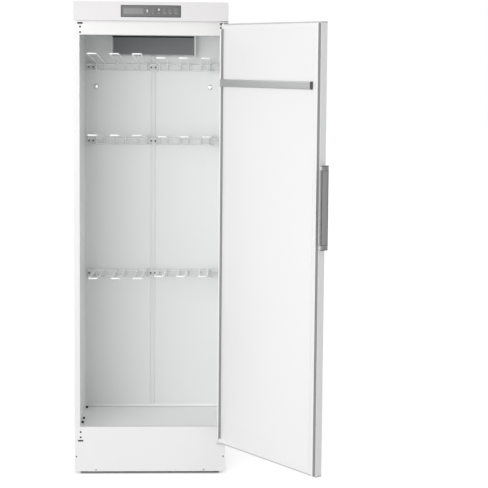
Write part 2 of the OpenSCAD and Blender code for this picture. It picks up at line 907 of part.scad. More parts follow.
// Motor on the scroll's side, with its shaft bore, fixing tabs and cooling ribs
module fan_motor() {
    color("dimgray")
        translate([motor_x, fan_cy, fan_z])
            rotate([0, 90, 0])
                difference() {
                    union() {
                        cylinder(h = motor_l, d = motor_d - 4);
                        for (i = [1:4])
                            translate([0, 0, i * motor_l / 5])
                                cylinder(h = 3, d = motor_d);
                        for (a = [45:90:315])
                            rotate([0, 0, a])
                                translate([motor_d / 2 - 6, -motor_tab / 2, 0])
                                    cube([10, motor_tab, 3]);
                    }
                    translate([0, 0, -1])
                        cylinder(h = 26, d = fan_shaft_d + 2 * running_gap);
                }
}

// Tubular heater with round fins, in the duct behind the grille
module heating_element() {
    y = grille_y + grille_t + (liner_y - sheet_t - grille_y - grille_t) / 2;
    reach = duct_w / 2 - heater_margin;
    z0 = duct_z + heater_pitch;
    color("firebrick") {
        for (i = [0:heater_rows - 1])
            translate([-reach, y, z0 + i * heater_pitch])
                rotate([0, 90, 0])
                    cylinder(h = 2 * reach, d = heater_d);
        for (i = [0:heater_rows - 2])
            translate([(i % 2 == 0 ? 1 : -1) * reach, y, z0 + (i + 0.5) * heater_pitch])
                rotate([90, 0, 0])
                    rotate([0, 0, i % 2 == 0 ? -90 : 90])
                        rotate_extrude(angle = 180)
                            translate([heater_pitch / 2, 0])
                                circle(d = heater_d);
        for (i = [0:heater_rows - 1], j = [0:heater_fins - 1])
            translate([(reach - heater_end) * (2 * j / (heater_fins - 1) - 1), y, z0 + i * heater_pitch])
                rotate([0, 90, 0])
                    cylinder(h = heater_fin_t, d = heater_fin_d, center = true);
        for (s = [-1, 1])
            block([s * (reach - heater_post_in) - heater_post / 2, y - heater_d / 2, duct_z + seat_gap],
                [s * (reach - heater_post_in) + heater_post / 2, y + heater_d / 2,
                    z0 + (heater_rows - 1) * heater_pitch]);
    }
}

// Collar through the roof for the exhaust duct: a neck that stands on the ceiling liner, and a wider end
module exhaust_collar() {
    foot = ceiling_z + sheet_t + seat_gap;
    rise = cab_top + collar_step - foot;
    color("gainsboro")
        translate([collar_cx, collar_cy, foot])
            difference() {
                union() {
                    cylinder(h = rise + 1, d = collar_neck_d);
                    cylinder(h = collar_wall, d = collar_d + 2 * collar_flange);
                    translate([0, 0, rise])
                        cylinder(h = collar_h - collar_step, d = collar_d);
                }
                translate([0, 0, -1])
                    cylinder(h = rise + collar_wall + 2, d = collar_neck_d - 2 * collar_wall);
                translate([0, 0, rise + collar_wall])
                    cylinder(h = collar_h, d = collar_d - 2 * collar_wall);
            }
}

// Gland for the mains lead, through the rear panel
module cable_gland() {
    color("black")
        translate([gland_x, back_y, gland_z])
            rotate([90, 0, 0])
                difference() {
                    union() {
                        translate([0, 0, -gland_l])
                            cylinder(h = gland_l - seat_gap, d = gland_d - 4);
                        translate([0, 0, -gland_flange_t - seat_gap])
                            cylinder(h = gland_flange_t, d = gland_flange_d);
                        translate([0, 0, -gland_flange_t])
                            cylinder(h = gland_flange_t + sheet_t + 5, d = gland_d);
                    }
                    translate([0, 0, -gland_l - 1])
                        cylinder(h = gland_l + sheet_t + 8, d = lead_d);
                }
}

// Hinge: leg screwed to the frame, plate under or over the door, and the pin
module hinge(plate_z, leg_z0, leg_z1, pin_z, bore_screws) {
    difference() {
        union() {
            block([hinge_x - hinge_w / 2, front_y - hinge_t, leg_z0],
                [hinge_x + hinge_w / 2, front_y, leg_z1]);
            block([hinge_x - hinge_w / 2, pivot[1] - hinge_tab, plate_z],
                [half_w - door_side_gap, front_y, plate_z + hinge_t]);
        }
        for (z = bore_screws)
            translate([hinge_x, front_y + 1, z])
                rotate([90, 0, 0])
                    cylinder(h = hinge_t + 2, d = dot_plug_d - 1);
    }
    translate([pivot[0], pivot[1], pin_z])
        cylinder(h = door_top_gap + pin_l - door_top_gap / 3, d = pin_d);
}

module hinge_top() {
    plate = hinge_top_z - hinge_t;
    pin_low = door_top_z - pin_l;
    color("lightslategray") {
        hinge(plate, hinge_top_z - hinge_leg, hinge_top_z, pin_low, top_screws);
    }
}

module hinge_bottom() {
    plate = hinge_low_z - hinge_t;
    color("lightslategray")
        hinge(plate, plate, hinge_low_z - hinge_t + hinge_leg, plate, low_screws);
}

// Plugs in the hinge holes of the side that isn't used
module spare_hinge_plugs() {
    color("black") {
        for (z = concat(top_screws, low_screws))
            translate([-spare_x, front_y, z])
                rotate([90, 0, 0])
                    cylinder(h = plug_proud, d = dot_plug_d);
        for (z = [hinge_top_z - spare_slot_in, hinge_low_z + spare_slot_in])
            along_y(front_y - plug_proud, plug_proud)
                translate([-spare_x, z])
                    round_rect(slot_plug[0], slot_plug[1], 2);
    }
}

module wall_plugs() {
    color("white")
        for (s = [-1, 1])
            translate([s * fixing_x, liner_y, fixing_z])
                rotate([90, 0, 0]) {
                    intersection() {
                        cylinder(h = plug_rim, d = plug_d);
                        translate([0, 0, plug_rim - 1.4 * plug_d])
                            sphere(1.4 * plug_d);
                    }
                    translate([0, 0, -plug_neck])
                        cylinder(h = plug_neck + 0.5, d = plug_d - 2 * plug_rim - 0.4);
                }
}

bracket_spots = [for (z = [rack_top_z, rack_middle_z, rack_bottom_z], s = [-1, 0, 1]) [s * bracket_x, z]];

// All the screws whose heads show: brackets, hinges and lower panel
module cabinet_screws() {
    color("gray") {
        for (p = bracket_spots, s = [-1, 1])
            front_screw(p[0] + s * bracket_screw_x, liner_y - bracket_t, p[1] - bracket_screw_z, 7);
        for (z = concat(top_screws, low_screws))
            front_screw(hinge_x, front_y - hinge_t, z);
        for (s = [-1, 1])
            front_screw(s * panel_screw_x, front_y, foot_gap + panel_screw_z, 6);
    }
}

// Bracket: plate on the rear liner, eye for the pivot wires and pad for the lower wires
module rack_bracket() {
    pad_y = -rack_standoff + wire_d / 2 + bearing_gap;
    difference() {
        union() {
            along_y(-bracket_t, bracket_t)
                translate([0, (bracket_up - bracket_down) / 2])
                    round_rect(bracket_w, bracket_up + bracket_down, bracket_r);
            translate([-bracket_w / 2, -rack_standoff, 0])
                rotate([0, 90, 0])
                    cylinder(h = bracket_w, d = eye_d);
            block([-bracket_w / 2, -rack_standoff, -eye_d / 2], [bracket_w / 2, -bracket_t, eye_d / 2]);
            block([-bracket_w / 2, pad_y, -rail_drop - pad_h / 2],
                [bracket_w / 2, -bracket_t, -rail_drop + pad_h / 3]);
        }
        translate([-bracket_w / 2 - 1, -rack_standoff, 0])
            rotate([0, 90, 0])
                cylinder(h = bracket_w + 2, d = wire_d + 2 * running_gap);
    }
}

module rack_brackets() {
    color("white")
        for (p = bracket_spots)
            translate([p[0], liner_y, p[1]])
                rack_bracket();
}

// Reed switch behind the header, which senses the closed door
module door_sensor() {
    color("black")
        translate([-sensor_x, front_y + frame_t + seat_gap, opening_z + sensor_z])
            cube(sensor_size);
}

// A bend in the wire, drawn from the X axis; it is a hair thicker than the straight wire it grips
module wire_bend(angle) {
    rotate_extrude(angle = angle)
        translate([loop_bend_r, 0])
            circle(d = wire_d + 2 * bend_swell);
}

// One loop: two legs on the wires, two arms and the front bar, drawn about the pivot wire
module rack_loop(tilt, lean) {
    turn = 90 - tilt;
    bend_y = leg_y - loop_bend_r;
    arm_y = bend_y + loop_bend_r * cos(turn);
    arm_z = loop_bend_r * sin(turn);
    arm_l = (arm_reach + arm_y - loop_bend_r) / cos(tilt);
    half = loop_w / 2;
    for (s = [-1, 1]) {
        translate([s * half, leg_y, -rail_drop - leg_below])
            cylinder(h = rail_drop + leg_below + bend_bite, d = wire_d);
        translate([s * half, bend_y, 0])
            rotate([90, 0, 90])
                wire_bend(turn);
    }
    translate([0, arm_y, arm_z])
        rotate([turn, 0, 0]) {
            for (s = [-1, 1])
                translate([s * half, 0, 0])
                    rotate([0, lean, 0])
                        translate([0, 0, -bend_bite])
                            cylinder(h = arm_l / cos(lean) + 2 * bend_bite, d = wire_d);
            translate([arm_l * tan(lean), 0, arm_l]) {
                for (s = [-1, 1])
                    mirror([s < 0 ? 1 : 0, 0, 0])
                        translate([half - loop_bend_r, 0, 0])
                            rotate([90, 0, 0])
                                wire_bend(90);
                translate([-half + loop_bend_r - bend_bite, 0, loop_bend_r])
                    rotate([0, 90, 0])
                        cylinder(h = loop_w - 2 * loop_bend_r + 2 * bend_bite, d = wire_d);
            }
        }
}

// One rack for the right-hand side: two level wires and three loops, which lean and stand outwards
module rack(tilt, lean, shift) {
    for (z = [0, -rail_drop])
        translate([wire_end, 0, z])
            rotate([0, 90, 0])
                cylinder(h = rack_rail_l, d = wire_d);
    for (i = [0:2])
        translate([loop_first + i * loop_pitch + shift, 0, 0])
            rack_loop(tilt, lean);
}

// Puts a rack in its row; its lean is given to the left
module place_rack(left, z, tilt, lean) {
    color("white")
        translate([0, rack_y, z])
            mirror([left ? 1 : 0, 0, 0])
                rack(tilt, left ? lean : -lean, left ? loop_shift : -loop_shift);
}

module rack_top_left() {
    place_rack(true, rack_top_z, tilt_top_left, lean_top_left);
}

module rack_top_right() {
    place_rack(false, rack_top_z, tilt_top_right, lean_top_right);
}

module rack_middle_left() {
    place_rack(true, rack_middle_z, tilt_middle_left, lean_middle_left);
}

module rack_middle_right() {
    place_rack(false, rack_middle_z, tilt_middle_right, lean_middle_right);
}

module rack_bottom_left() {
    place_rack(true, rack_bottom_z, tilt_bottom_left, lean_bottom_left);
}

module rack_bottom_right() {
    place_rack(false, rack_bottom_z, tilt_bottom_right, lean_bottom_right);
}

// Outer skin of the door, a pan open towards the inside
module door_shell() {
    mid_z = (door_top_z + door_bottom_z) / 2;
    h = door_top_z - door_bottom_z;
    color("white")
        on_door()
            difference() {
                along_y(door_out_y, door_t)
                    translate([0, mid_z])
                        round_rect(2 * door_x, h, door_r);
                along_y(door_out_y + sheet_t, door_t)
                    translate([0, mid_z])
                        square([2 * (door_x - sheet_t), h - 2 * sheet_t], center = true);
                translate([pivot[0], pivot[1], door_bottom_z - 1])
                    cylinder(h = h + 2, d = bush_d + 2 * seat_gap);
            }
}

// Inner skin of the door with its raised field
module door_liner() {
    x = door_x - sheet_t - seat_gap;
    z0 = door_bottom_z + sheet_t + seat_gap;
    z1 = door_top_z - sheet_t - seat_gap;
    color("white")
        on_door() {
            block([-x, door_in_y - sheet_t, z0], [x, door_in_y, z1]);
            block([field_x_free, door_in_y - sheet_t, door_bottom_z + field_border_z],
                [field_x_hinge, field_y, door_top_z - field_border_z]);
        }
}

// Two hat-shaped channels between the skins
module door_stiffeners() {
    y0 = door_out_y + sheet_t + seat_gap;
    y1 = door_in_y - sheet_t - seat_gap;
    z0 = door_bottom_z + field_border_z;
    z1 = door_top_z - field_border_z;
    half = stiffener_w / 2;
    color("silver")
        on_door()
            for (s = [-1, 1])
                translate([s * stiffener_x, 0, z0])
                    linear_extrude(z1 - z0) {
                        translate([-half / 2, y0])
                            square([half, sheet_t]);
                        for (m = [-1, 1]) {
                            translate([m * half / 2 - (m > 0 ? sheet_t : 0), y0])
                                square([sheet_t, y1 - y0]);
                            translate([m > 0 ? half / 2 - sheet_t : -half, y1 - sheet_t])
                                square([half / 2 + sheet_t, sheet_t]);
                        }
                    }
}

module door_edge_trim() {
    color("gainsboro")
        on_door()
            block([-door_x - edge_trim_t, door_out_y + trim_margin, door_bottom_z],
                [-door_x, door_in_y - trim_margin, door_top_z]);
}

// Upright magnetic seals: the free side full height, the hinge side in two lengths
module door_seals() {
    color("dimgray")
        on_door() {
            block([-door_x + trim_margin / 2, door_in_y, door_bottom_z],
                [-door_x + seal_w, seal_y, door_top_z]);
            block([seal_hinge_x - seal_w, door_in_y, door_bottom_z + field_border_z],
                [seal_hinge_x, seal_y, rail_lo - seat_gap]);
            block([seal_hinge_x - seal_w, door_in_y, rail_hi + seat_gap],
                [seal_hinge_x, seal_y, door_top_z - field_border_z]);
        }
}

module bush(flange) {
    difference() {
        union() {
            cylinder(h = bush_l, d = bush_d);
            translate([0, 0, -flange])
                cylinder(h = flange, d = bush_flange_d);
        }
        translate([0, 0, -flange - 1])
            cylinder(h = bush_l + flange + 2, d = pin_d + 2 * running_gap);
    }
}

module door_bushes() {
    top_flange = hinge_top_z - hinge_t - door_top_z - bearing_gap;
    low_flange = door_bottom_z - hinge_low_z - bearing_gap;
    color("ivory")
        on_door() {
            translate([pivot[0], pivot[1], door_top_z])
                mirror([0, 0, 1])
                    bush(top_flange);
            translate([pivot[0], pivot[1], door_bottom_z])
                bush(low_flange);
        }
}

// Outline of the rail in Y and Z: flat at the back, round corners in front
module rail_outline(grow) {
    y1 = rail_t + grow;
    h = door_rail_h + 2 * grow;
    r = door_rail_r + grow;
    translate([-grow, -h / 2])
        square([y1 - r + grow, h]);
    translate([-grow, -h / 2 + r])
        square([y1 + grow, h - 2 * r]);
    for (s = [-1, 1])
        translate([y1 - r, s * (h / 2 - r)])
            circle(r);
}

module door_rail() {
    color("silver")
        on_door()
            translate([0, rail_y0, door_rail_z])
                difference() {
                    along_x(rail_x0 + rail_cap_l, rail_x1 - rail_x0 - 2 * rail_cap_l)
                        rail_outline(0);
                    along_x(rail_x0, rail_x1 - rail_x0)
                        rail_outline(-door_rail_wall);
                }
}

// End cap with a spigot in the rail
module rail_cap(x, spigot_x) {
    on_door()
        translate([0, rail_y0, door_rail_z]) {
            along_x(x, rail_cap_l)
                rail_outline(0);
            along_x(spigot_x, rail_cap_l * 2)
                rail_outline(-door_rail_wall - seat_gap);
        }
}

module rail_end_light() {
    color("gainsboro")
        rail_cap(rail_x1 - rail_cap_l, rail_x1 - 3 * rail_cap_l);
}

module rail_end_dark() {
    color("dimgray")
        rail_cap(rail_x0, rail_x0 + rail_cap_l);
}

// Handle: an upright bar on two end blocks, with round corners along its face
module handle() {
    y0 = handle_y - handle_w / 2;
    color("gray")
        on_door()
            difference() {
                translate([0, 0, handle_z])
                    linear_extrude(handle_l) {
                        translate([grip_x - handle_t + 2, y0])
                            square([handle_grip + handle_t - 2, handle_w]);
                        translate([grip_x - handle_t, y0 + 2])
                            square([handle_grip, handle_w - 4]);
                        for (s = [2, handle_w - 2])
                            translate([grip_x - handle_t + 2, y0 + s])
                                circle(2);
                    }
                block([grip_x, y0 - 1, handle_z + handle_block_l],
                    [grip_x + handle_grip + 1, y0 + handle_w + 1, handle_z + handle_l - handle_block_l]);
            }
}

module handle_screws() {
    color("lightgray")
        on_door()
            for (z = [handle_z + handle_block_l / 2, handle_z + handle_l - handle_block_l / 2])
                translate([grip_x - handle_t - 0.8, handle_y, z])
                    rotate([0, 90, 0])
                        cylinder(h = 0.8, d = 6);
}

// Levelling foot: pad on the floor and screw up through the base
module foot(i) {
    p = foot_spots[i];
    color("dimgray")
        translate([p[0], p[1], 0]) {
            cylinder(h = foot_pad_h, d = foot_d);
            cylinder(h = foot_pad_h + foot_screw_l, d = foot_screw_d);
        }
}

module foot_front_left() {
    foot(0);
}

module foot_front_right() {
    foot(1);
}

module foot_rear_left() {
    foot(2);
}

module foot_rear_right() {
    foot(3);
}

left_side_panel();
right_side_panel();
rear_panel();
roof_panel();
base_frame();
front_header();
lower_front_panel();
fascia();
control_panel();
display_window();
control_board();
left_liner();
right_liner();
rear_liner_left();
rear_liner_right();
rear_seam_strip();
ceiling_liner();
floor_tray();
air_duct();
fan_grille();
fan_scroll();
fan_motor();
heating_element();
exhaust_collar();
cable_gland();
hinge_top();
hinge_bottom();
spare_hinge_plugs();
wall_plugs();
cabinet_screws();
rack_brackets();
door_sensor();
tray_clips();
fan_impeller();
door_shell();
door_liner();
door_stiffeners();
door_edge_trim();
door_seals();
door_bushes();
door_rail();
rail_end_light();
rail_end_dark();
handle();
handle_screws();
rack_top_left();
rack_top_right();
rack_middle_left();
rack_middle_right();
rack_bottom_left();
rack_bottom_right();
button_1();
button_2();
button_3();
button_4();
button_5();
foot_front_left();
foot_front_right();
foot_rear_left();
foot_rear_right();
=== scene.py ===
"""Dresses a clothes drying cabinet: enamelled sheet, wire racks, seals, controls and a stage."""

import json
import math

import bmesh
import bpy
from mathutils import Matrix, Vector

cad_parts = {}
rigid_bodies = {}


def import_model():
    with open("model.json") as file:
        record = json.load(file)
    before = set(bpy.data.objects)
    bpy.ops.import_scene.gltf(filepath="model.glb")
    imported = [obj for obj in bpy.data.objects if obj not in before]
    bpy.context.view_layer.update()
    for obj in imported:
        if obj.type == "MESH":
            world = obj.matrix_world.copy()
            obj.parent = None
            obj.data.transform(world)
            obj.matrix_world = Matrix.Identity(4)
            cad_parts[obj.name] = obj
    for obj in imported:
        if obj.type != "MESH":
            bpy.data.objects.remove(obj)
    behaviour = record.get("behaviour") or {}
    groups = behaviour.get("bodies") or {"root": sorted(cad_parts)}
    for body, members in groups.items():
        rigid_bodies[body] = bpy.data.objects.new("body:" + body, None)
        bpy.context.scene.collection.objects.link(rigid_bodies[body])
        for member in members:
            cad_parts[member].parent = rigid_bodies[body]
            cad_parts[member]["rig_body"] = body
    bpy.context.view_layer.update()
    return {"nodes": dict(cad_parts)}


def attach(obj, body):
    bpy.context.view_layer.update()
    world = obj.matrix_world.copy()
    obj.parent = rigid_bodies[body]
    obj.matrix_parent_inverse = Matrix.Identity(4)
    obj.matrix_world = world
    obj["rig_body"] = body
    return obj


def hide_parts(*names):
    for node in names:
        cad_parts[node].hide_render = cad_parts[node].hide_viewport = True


bl_info = {
    "name": "Drying cabinet",
    "version": (1, 0, 0),
    "blender": (4, 5, 0),
    "location": "View3D > Sidebar > Cabinet",
    "description": "Finishes and small parts of a clothes drying cabinet",
    "category": "Object",
}

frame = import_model()
NODES = frame["nodes"]

RACK_ROWS = ("top", "middle", "bottom")
SIDES = ("left", "right")
BUTTONS = ["button_%d" % number for number in range(1, 6)]
FEET = ["foot_%s_%s" % (end, side) for end in ("front", "rear") for side in SIDES]

# The door in metres: its hinge axis, the angle by which it stands open, and the turn to there
HINGE_X = 0.2885
HINGE_Y = -0.307
DOOR_OPEN = math.radians(124.75)
DOOR_TURN = (Matrix.Translation((HINGE_X, HINGE_Y, 0)) @ Matrix.Rotation(DOOR_OPEN, 4, "Z")
             @ Matrix.Translation((-HINGE_X, -HINGE_Y, 0)))

# The pieces are drawn in millimetres
MM_PER_M = 1000

# The closed door in mm, as the solids have it: its faces, its ends and the rail inside it
DOOR_IN_Y = -292.5
DOOR_OUT_Y = -321.5
DOOR_LOW = 132
DOOR_TOP = 1776
RAIL_LOW = 1535
RAIL_TOP = 1564
RAIL_X = -253.5
RAIL_LENGTH = 539.5
RAIL_FACE_Y = -279

# The handle on the closed door in mm: its faces, the bar's ends, the end pieces and the joints
HANDLE_X = (-316, -311)
HANDLE_Y = (-321, -289)
HANDLE_BAR_Z = (982.6, 1247.4)
HANDLE_ENDS = ((966.4, 980.4), (1249.6, 1263.6))
HANDLE_JOINTS = ((963, 966.3), (980.5, 982.5), (1247.5, 1249.5), (1263.7, 1267))
# the width of the dark bands of painted shade along the handle bar's edges
EDGE_SHADE_WIDTH = 3.5
POST_END_X = -298.1

# The chamber in mm: its rear and side liners, the tray's floor and the hem of its rear edge
LINER_Y = 182
LINER_X = 283.5
TRAY_Z = 161
HEM_Z = (171.4, 175)
WALL_FIXINGS = ((-238, 1524), (238, 1524))

# The control panel in mm: its face, and the low and high corners of its pieces on X and Z
PANEL_Y = -320.7
PANEL_CORNERS = ((-115, 1798), (115, 1844))
DISPLAY_CORNERS = ((-109.6, 1805.4), (-24.4, 1836.6))
FIELD_CORNERS = ((-103, 1811), (-31, 1831))
READY_LAMP_CORNERS = ((-17, 1816.5), (-11, 1828.5))
KEY_LAMP_PLACE = (30.6, PANEL_Y, 1827.4)
KEY_FIELD_X = -21
KEY_FIRST = 8
KEY_PITCH = 22
KEY_MARK_HALF = 4
KEY_MARK_Z = (1812.2, 1814)

# The air outlet in mm: its face, its height and half width, its rim and its blades
GRILLE_Y = 139
GRILLE_LOW = 1654.3
GRILLE_TOP = 1733.8
GRILLE_HALF = 169.6
GRILLE_RIM = 4
BLADES = 13
BLADE_HALF = 166

# The racks in mm: heights of the pivot wires, the second wire's drop, the loops and the welds
RACK_HEIGHTS = (1617, 1309, 750)
RACK_WIRES = 23
LOOPS = 3
LOOP_FIRST = 44
LOOP_PITCH = 87
LOOP_SHIFT = 2.5
LOOP_HALF = 17
WELD_Y = 167.3

# The caps of the hinge pins and the hinge's screw in mm
PIN_CAP_Z = 1776.4
PIN_RING_Z = 129.2
HINGE_SCREW_PLACE = (270.5, -281, 1776.2)

# The rear panel's screws in mm: its face, and their places along its sides and its ends
REAR_Y = 278
REAR_SCREW_X = 287
REAR_SCREW_HEIGHTS = range(70, 1830, 290)
REAR_END_SCREWS_X = (-140, 0, 140)
REAR_END_SCREWS_Z = (24, 1832)

# The camera in metres and degrees, and the photograph's frame in pixels with the row that the
# camera's axis meets
CAMERA_PLACE = (0.1289, -5.959, 1.6284)
CAMERA_TURNS = (2.375, -5.374, 0.51)
PHOTO_WIDTH = 488
PHOTO_HEIGHT = 488
AXIS_ROW = 200
FOCAL_PIXELS = 1460.03
SENSOR_MM = 36

# The key light in metres
LIGHT_PLACE = (-2.9, -5.6, 1.9)
LIGHT_AIM = (0.1, -0.2, 0.9)
LIGHT_WIDTH = 5.5
LIGHT_HEIGHT = 2.4

# How much the floor glows to the camera alone, so that it is white but for the cabinet's shadow,
# and the small floor in metres that doesn't glow under the cabinet
FLOOR_GLOW = 0.46
SHADE_HALF = 0.275
SHADE_HEIGHT = 0.0004

# Vertices closer than this in metres are one, and edges this parallel run along an axis
MERGE_DISTANCE = 1e-6
PARALLEL = 0.999


def linear(hex_colour):
    """An sRGB hex colour as linear red, green, blue and alpha."""
    channels = [int(hex_colour[i:i + 2], 16) / 255 for i in (1, 3, 5)]
    return [c / 12.92 if c <= 0.04045 else ((c + 0.055) / 1.055) ** 2.4 for c in channels] + [1.0]


def shade(colour, factor):
    """A linear colour made darker or lighter by this factor."""
    return [min(1.0, c * factor) for c in colour[:3]] + [1.0]


def per_metre(size_mm):
    """The scale that gives a pattern features of this size on Object coordinates."""
    return MM_PER_M / size_mm


def add_node(owner, kind, settings=(), values=(), links=()):
    """Adds one node to a material or world, with its settings, sockets' values and links."""
    node = owner.node_tree.nodes.new(kind)
    for name, value in settings:
        setattr(node, name, value)
    for socket, value in values:
        node.inputs[socket].default_value = value
    for socket, source in links:
        owner.node_tree.links.new(source, node.inputs[socket])
    return node


def start_finish(name, colour, values):
    """A Principled material in this colour. Gives the material, shader and coordinates."""
    material = bpy.data.materials.new(name)
    material.use_nodes = True
    material.diffuse_color = colour
    shader = material.node_tree.nodes["Principled BSDF"]
    shader.inputs["Base Color"].default_value = colour
    for socket, value in values:
        shader.inputs[socket].default_value = value
    coordinates = add_node(material, "ShaderNodeTexCoord").outputs["Object"]
    return material, shader, coordinates


def vary_colour(material, shader, coordinates, colour, size_mm, amount):
    """Lightens and darkens the colour softly in patches of this size."""
    noise = add_node(material, "ShaderNodeTexNoise",
                     values=(("Scale", per_metre(size_mm)), ("Detail", 2.0)),
                     links=(("Vector", coordinates),))
    mix = add_node(material, "ShaderNodeMix", settings=(("data_type", "RGBA"),),
                   values=(("A", shade(colour, 1 - amount)), ("B", shade(colour, 1 + amount))),
                   links=(("Factor", noise.outputs["Fac"]),))
    material.node_tree.links.new(mix.outputs["Result"], shader.inputs["Base Color"])


def spread_roughness(material, shader, pattern, low, high):
    """Takes the roughness from low to high over the middle of a noise pattern's range."""
    spread = add_node(material, "ShaderNodeMapRange",
                      values=(("From Min", 0.3), ("From Max", 0.7), ("To Min", low),
                              ("To Max", high)),
                      links=(("Value", pattern),))
    material.node_tree.links.new(spread.outputs["Result"], shader.inputs["Roughness"])


def vary_roughness(material, shader, coordinates, size_mm, low, high):
    """Takes the roughness from low to high in patches of this size."""
    noise = add_node(material, "ShaderNodeTexNoise",
                     values=(("Scale", per_metre(size_mm)), ("Detail", 3.0)),
                     links=(("Vector", coordinates),))
    spread_roughness(material, shader, noise.outputs["Fac"], low, high)


def raise_surface(material, shader, height, depth_mm, strength):
    """Bumps the surface by this height, which goes from 0 to 1 over depth_mm."""
    bump = add_node(material, "ShaderNodeBump",
                    values=(("Strength", strength), ("Distance", depth_mm / MM_PER_M)),
                    links=(("Height", height),))
    material.node_tree.links.new(bump.outputs["Normal"], shader.inputs["Normal"])


def enamel(name, colour, roughness=0.32, gloss=0.15):
    """Stove-baked enamel on sheet steel: soft gloss, with a sprayed coat's faint orange peel."""
    material, shader, coordinates = start_finish(
        name, colour, (("Roughness", roughness), ("IOR", 1.5), ("Coat Weight", gloss),
                       ("Coat Roughness", 0.15)))
    vary_colour(material, shader, coordinates, colour, size_mm=420, amount=0.012)
    vary_roughness(material, shader, coordinates, 60, roughness - 0.04, roughness + 0.06)
    # real orange peel is about 1 mm, too fine to show from across a room
    peel = add_node(material, "ShaderNodeTexNoise",
                    values=(("Scale", per_metre(2.5)), ("Detail", 2.0)),
                    links=(("Vector", coordinates),))
    raise_surface(material, shader, peel.outputs["Fac"], depth_mm=0.05, strength=0.5)
    return material


def moulded_plastic(name, colour, roughness=0.42, grain_mm=0.8):
    """Injection-moulded ABS: even colour with a fine sparked grain."""
    material, shader, coordinates = start_finish(
        name, colour, (("Roughness", roughness), ("IOR", 1.53)))
    vary_colour(material, shader, coordinates, colour, size_mm=90, amount=0.02)
    grain = add_node(material, "ShaderNodeTexNoise",
                     values=(("Scale", per_metre(grain_mm)), ("Detail", 4.0)),
                     links=(("Vector", coordinates),))
    raise_surface(material, shader, grain.outputs["Fac"], depth_mm=0.06, strength=0.6)
    vary_roughness(material, shader, coordinates, 15, roughness - 0.04, roughness + 0.05)
    return material


def printed_plastic(name, colour, print_colour, start_mm):
    """Moulded ABS whose right part carries a darker printed field, from a place on X."""
    material = moulded_plastic(name, colour, 0.4)
    shader = material.node_tree.nodes["Principled BSDF"]
    plain = shader.inputs["Base Color"].links[0].from_socket
    coordinates = add_node(material, "ShaderNodeTexCoord").outputs["Object"]
    place = add_node(material, "ShaderNodeSeparateXYZ", links=(("Vector", coordinates),))
    beyond = add_node(material, "ShaderNodeMath", settings=(("operation", "GREATER_THAN"),),
                      values=((1, start_mm / MM_PER_M),), links=((0, place.outputs["X"]),))
    mix = add_node(material, "ShaderNodeMix", settings=(("data_type", "RGBA"),),
                   values=(("B", print_colour),),
                   links=(("Factor", beyond.outputs["Value"]), ("A", plain)))
    material.node_tree.links.new(mix.outputs["Result"], shader.inputs["Base Color"])
    return material


def brushed_metal(name, colour, roughness, along, line_mm=0.6):
    """Metal with fine lines along one axis, from a belt or from drawing through a die."""
    material, shader, coordinates = start_finish(
        name, colour, (("Metallic", 1.0), ("Roughness", roughness)))
    drawn_out = [0.02 if axis == along else 1.0 for axis in "XYZ"]
    mapping = add_node(material, "ShaderNodeMapping", values=(("Scale", drawn_out),),
                       links=(("Vector", coordinates),))
    lines = add_node(material, "ShaderNodeTexNoise",
                     values=(("Scale", per_metre(line_mm)), ("Detail", 3.0)),
                     links=(("Vector", mapping.outputs["Vector"]),))
    spread_roughness(material, shader, lines.outputs["Fac"], roughness - 0.07, roughness + 0.09)
    raise_surface(material, shader, lines.outputs["Fac"], depth_mm=0.02, strength=0.4)
    return material


def galvanised(name, colour):
    """Hot-dip galvanised sheet: zinc spangle in flakes of about 12 mm, dull and grey."""
    material, shader, coordinates = start_finish(
        name, colour, (("Metallic", 0.9), ("Roughness", 0.45)))
    flakes = add_node(material, "ShaderNodeTexVoronoi", values=(("Scale", per_metre(12)),),
                      links=(("Vector", coordinates),))
    grey = add_node(material, "ShaderNodeRGBToBW", links=(("Color", flakes.outputs["Color"]),))
    spread = add_node(material, "ShaderNodeMapRange", values=(("To Min", 0.36), ("To Max", 0.56)),
                      links=(("Value", grey.outputs["Val"]),))
    material.node_tree.links.new(spread.outputs["Result"], shader.inputs["Roughness"])
    mix = add_node(material, "ShaderNodeMix", settings=(("data_type", "RGBA"),),
                   values=(("A", shade(colour, 0.86)), ("B", colour)),
                   links=(("Factor", grey.outputs["Val"]),))
    material.node_tree.links.new(mix.outputs["Result"], shader.inputs["Base Color"])
    return material


def seal_rubber(name, colour, along="Z"):
    """Soft PVC or silicone strip: matt, with fine lines along its length."""
    material, shader, coordinates = start_finish(
        name, colour, (("Roughness", 0.62), ("IOR", 1.5)))
    vary_colour(material, shader, coordinates, colour, size_mm=140, amount=0.05)
    drawn_out = [0.03 if axis == along else 1.0 for axis in "XYZ"]
    mapping = add_node(material, "ShaderNodeMapping", values=(("Scale", drawn_out),),
                       links=(("Vector", coordinates),))
    lines = add_node(material, "ShaderNodeTexNoise",
                     values=(("Scale", per_metre(1.2)), ("Detail", 2.0)),
                     links=(("Vector", mapping.outputs["Vector"]),))
    raise_surface(material, shader, lines.outputs["Fac"], depth_mm=0.08, strength=0.5)
    return material


def display_glass(name, colour):
    """Smoked acrylic over a display: smooth and glossy, a shade lighter than its surround."""
    material, shader, coordinates = start_finish(
        name, colour, (("Roughness", 0.12), ("IOR", 1.49), ("Coat Weight", 0.3),
                       ("Coat Roughness", 0.05)))
    vary_colour(material, shader, coordinates, colour, size_mm=60, amount=0.03)
    return material


def circuit_lacquer(name, colour):
    """Green solder lacquer over copper tracks, drawn as blocks of 15 by 7.5 mm."""
    material, shader, coordinates = start_finish(name, colour, (("Roughness", 0.35),))
    tracks = add_node(material, "ShaderNodeTexBrick", values=(("Scale", per_metre(30)),),
                      links=(("Vector", coordinates),))
    mix = add_node(material, "ShaderNodeMix", settings=(("data_type", "RGBA"),),
                   values=(("A", colour), ("B", shade(colour, 1.5))),
                   links=(("Factor", tracks.outputs["Fac"]),))
    material.node_tree.links.new(mix.outputs["Result"], shader.inputs["Base Color"])
    return material


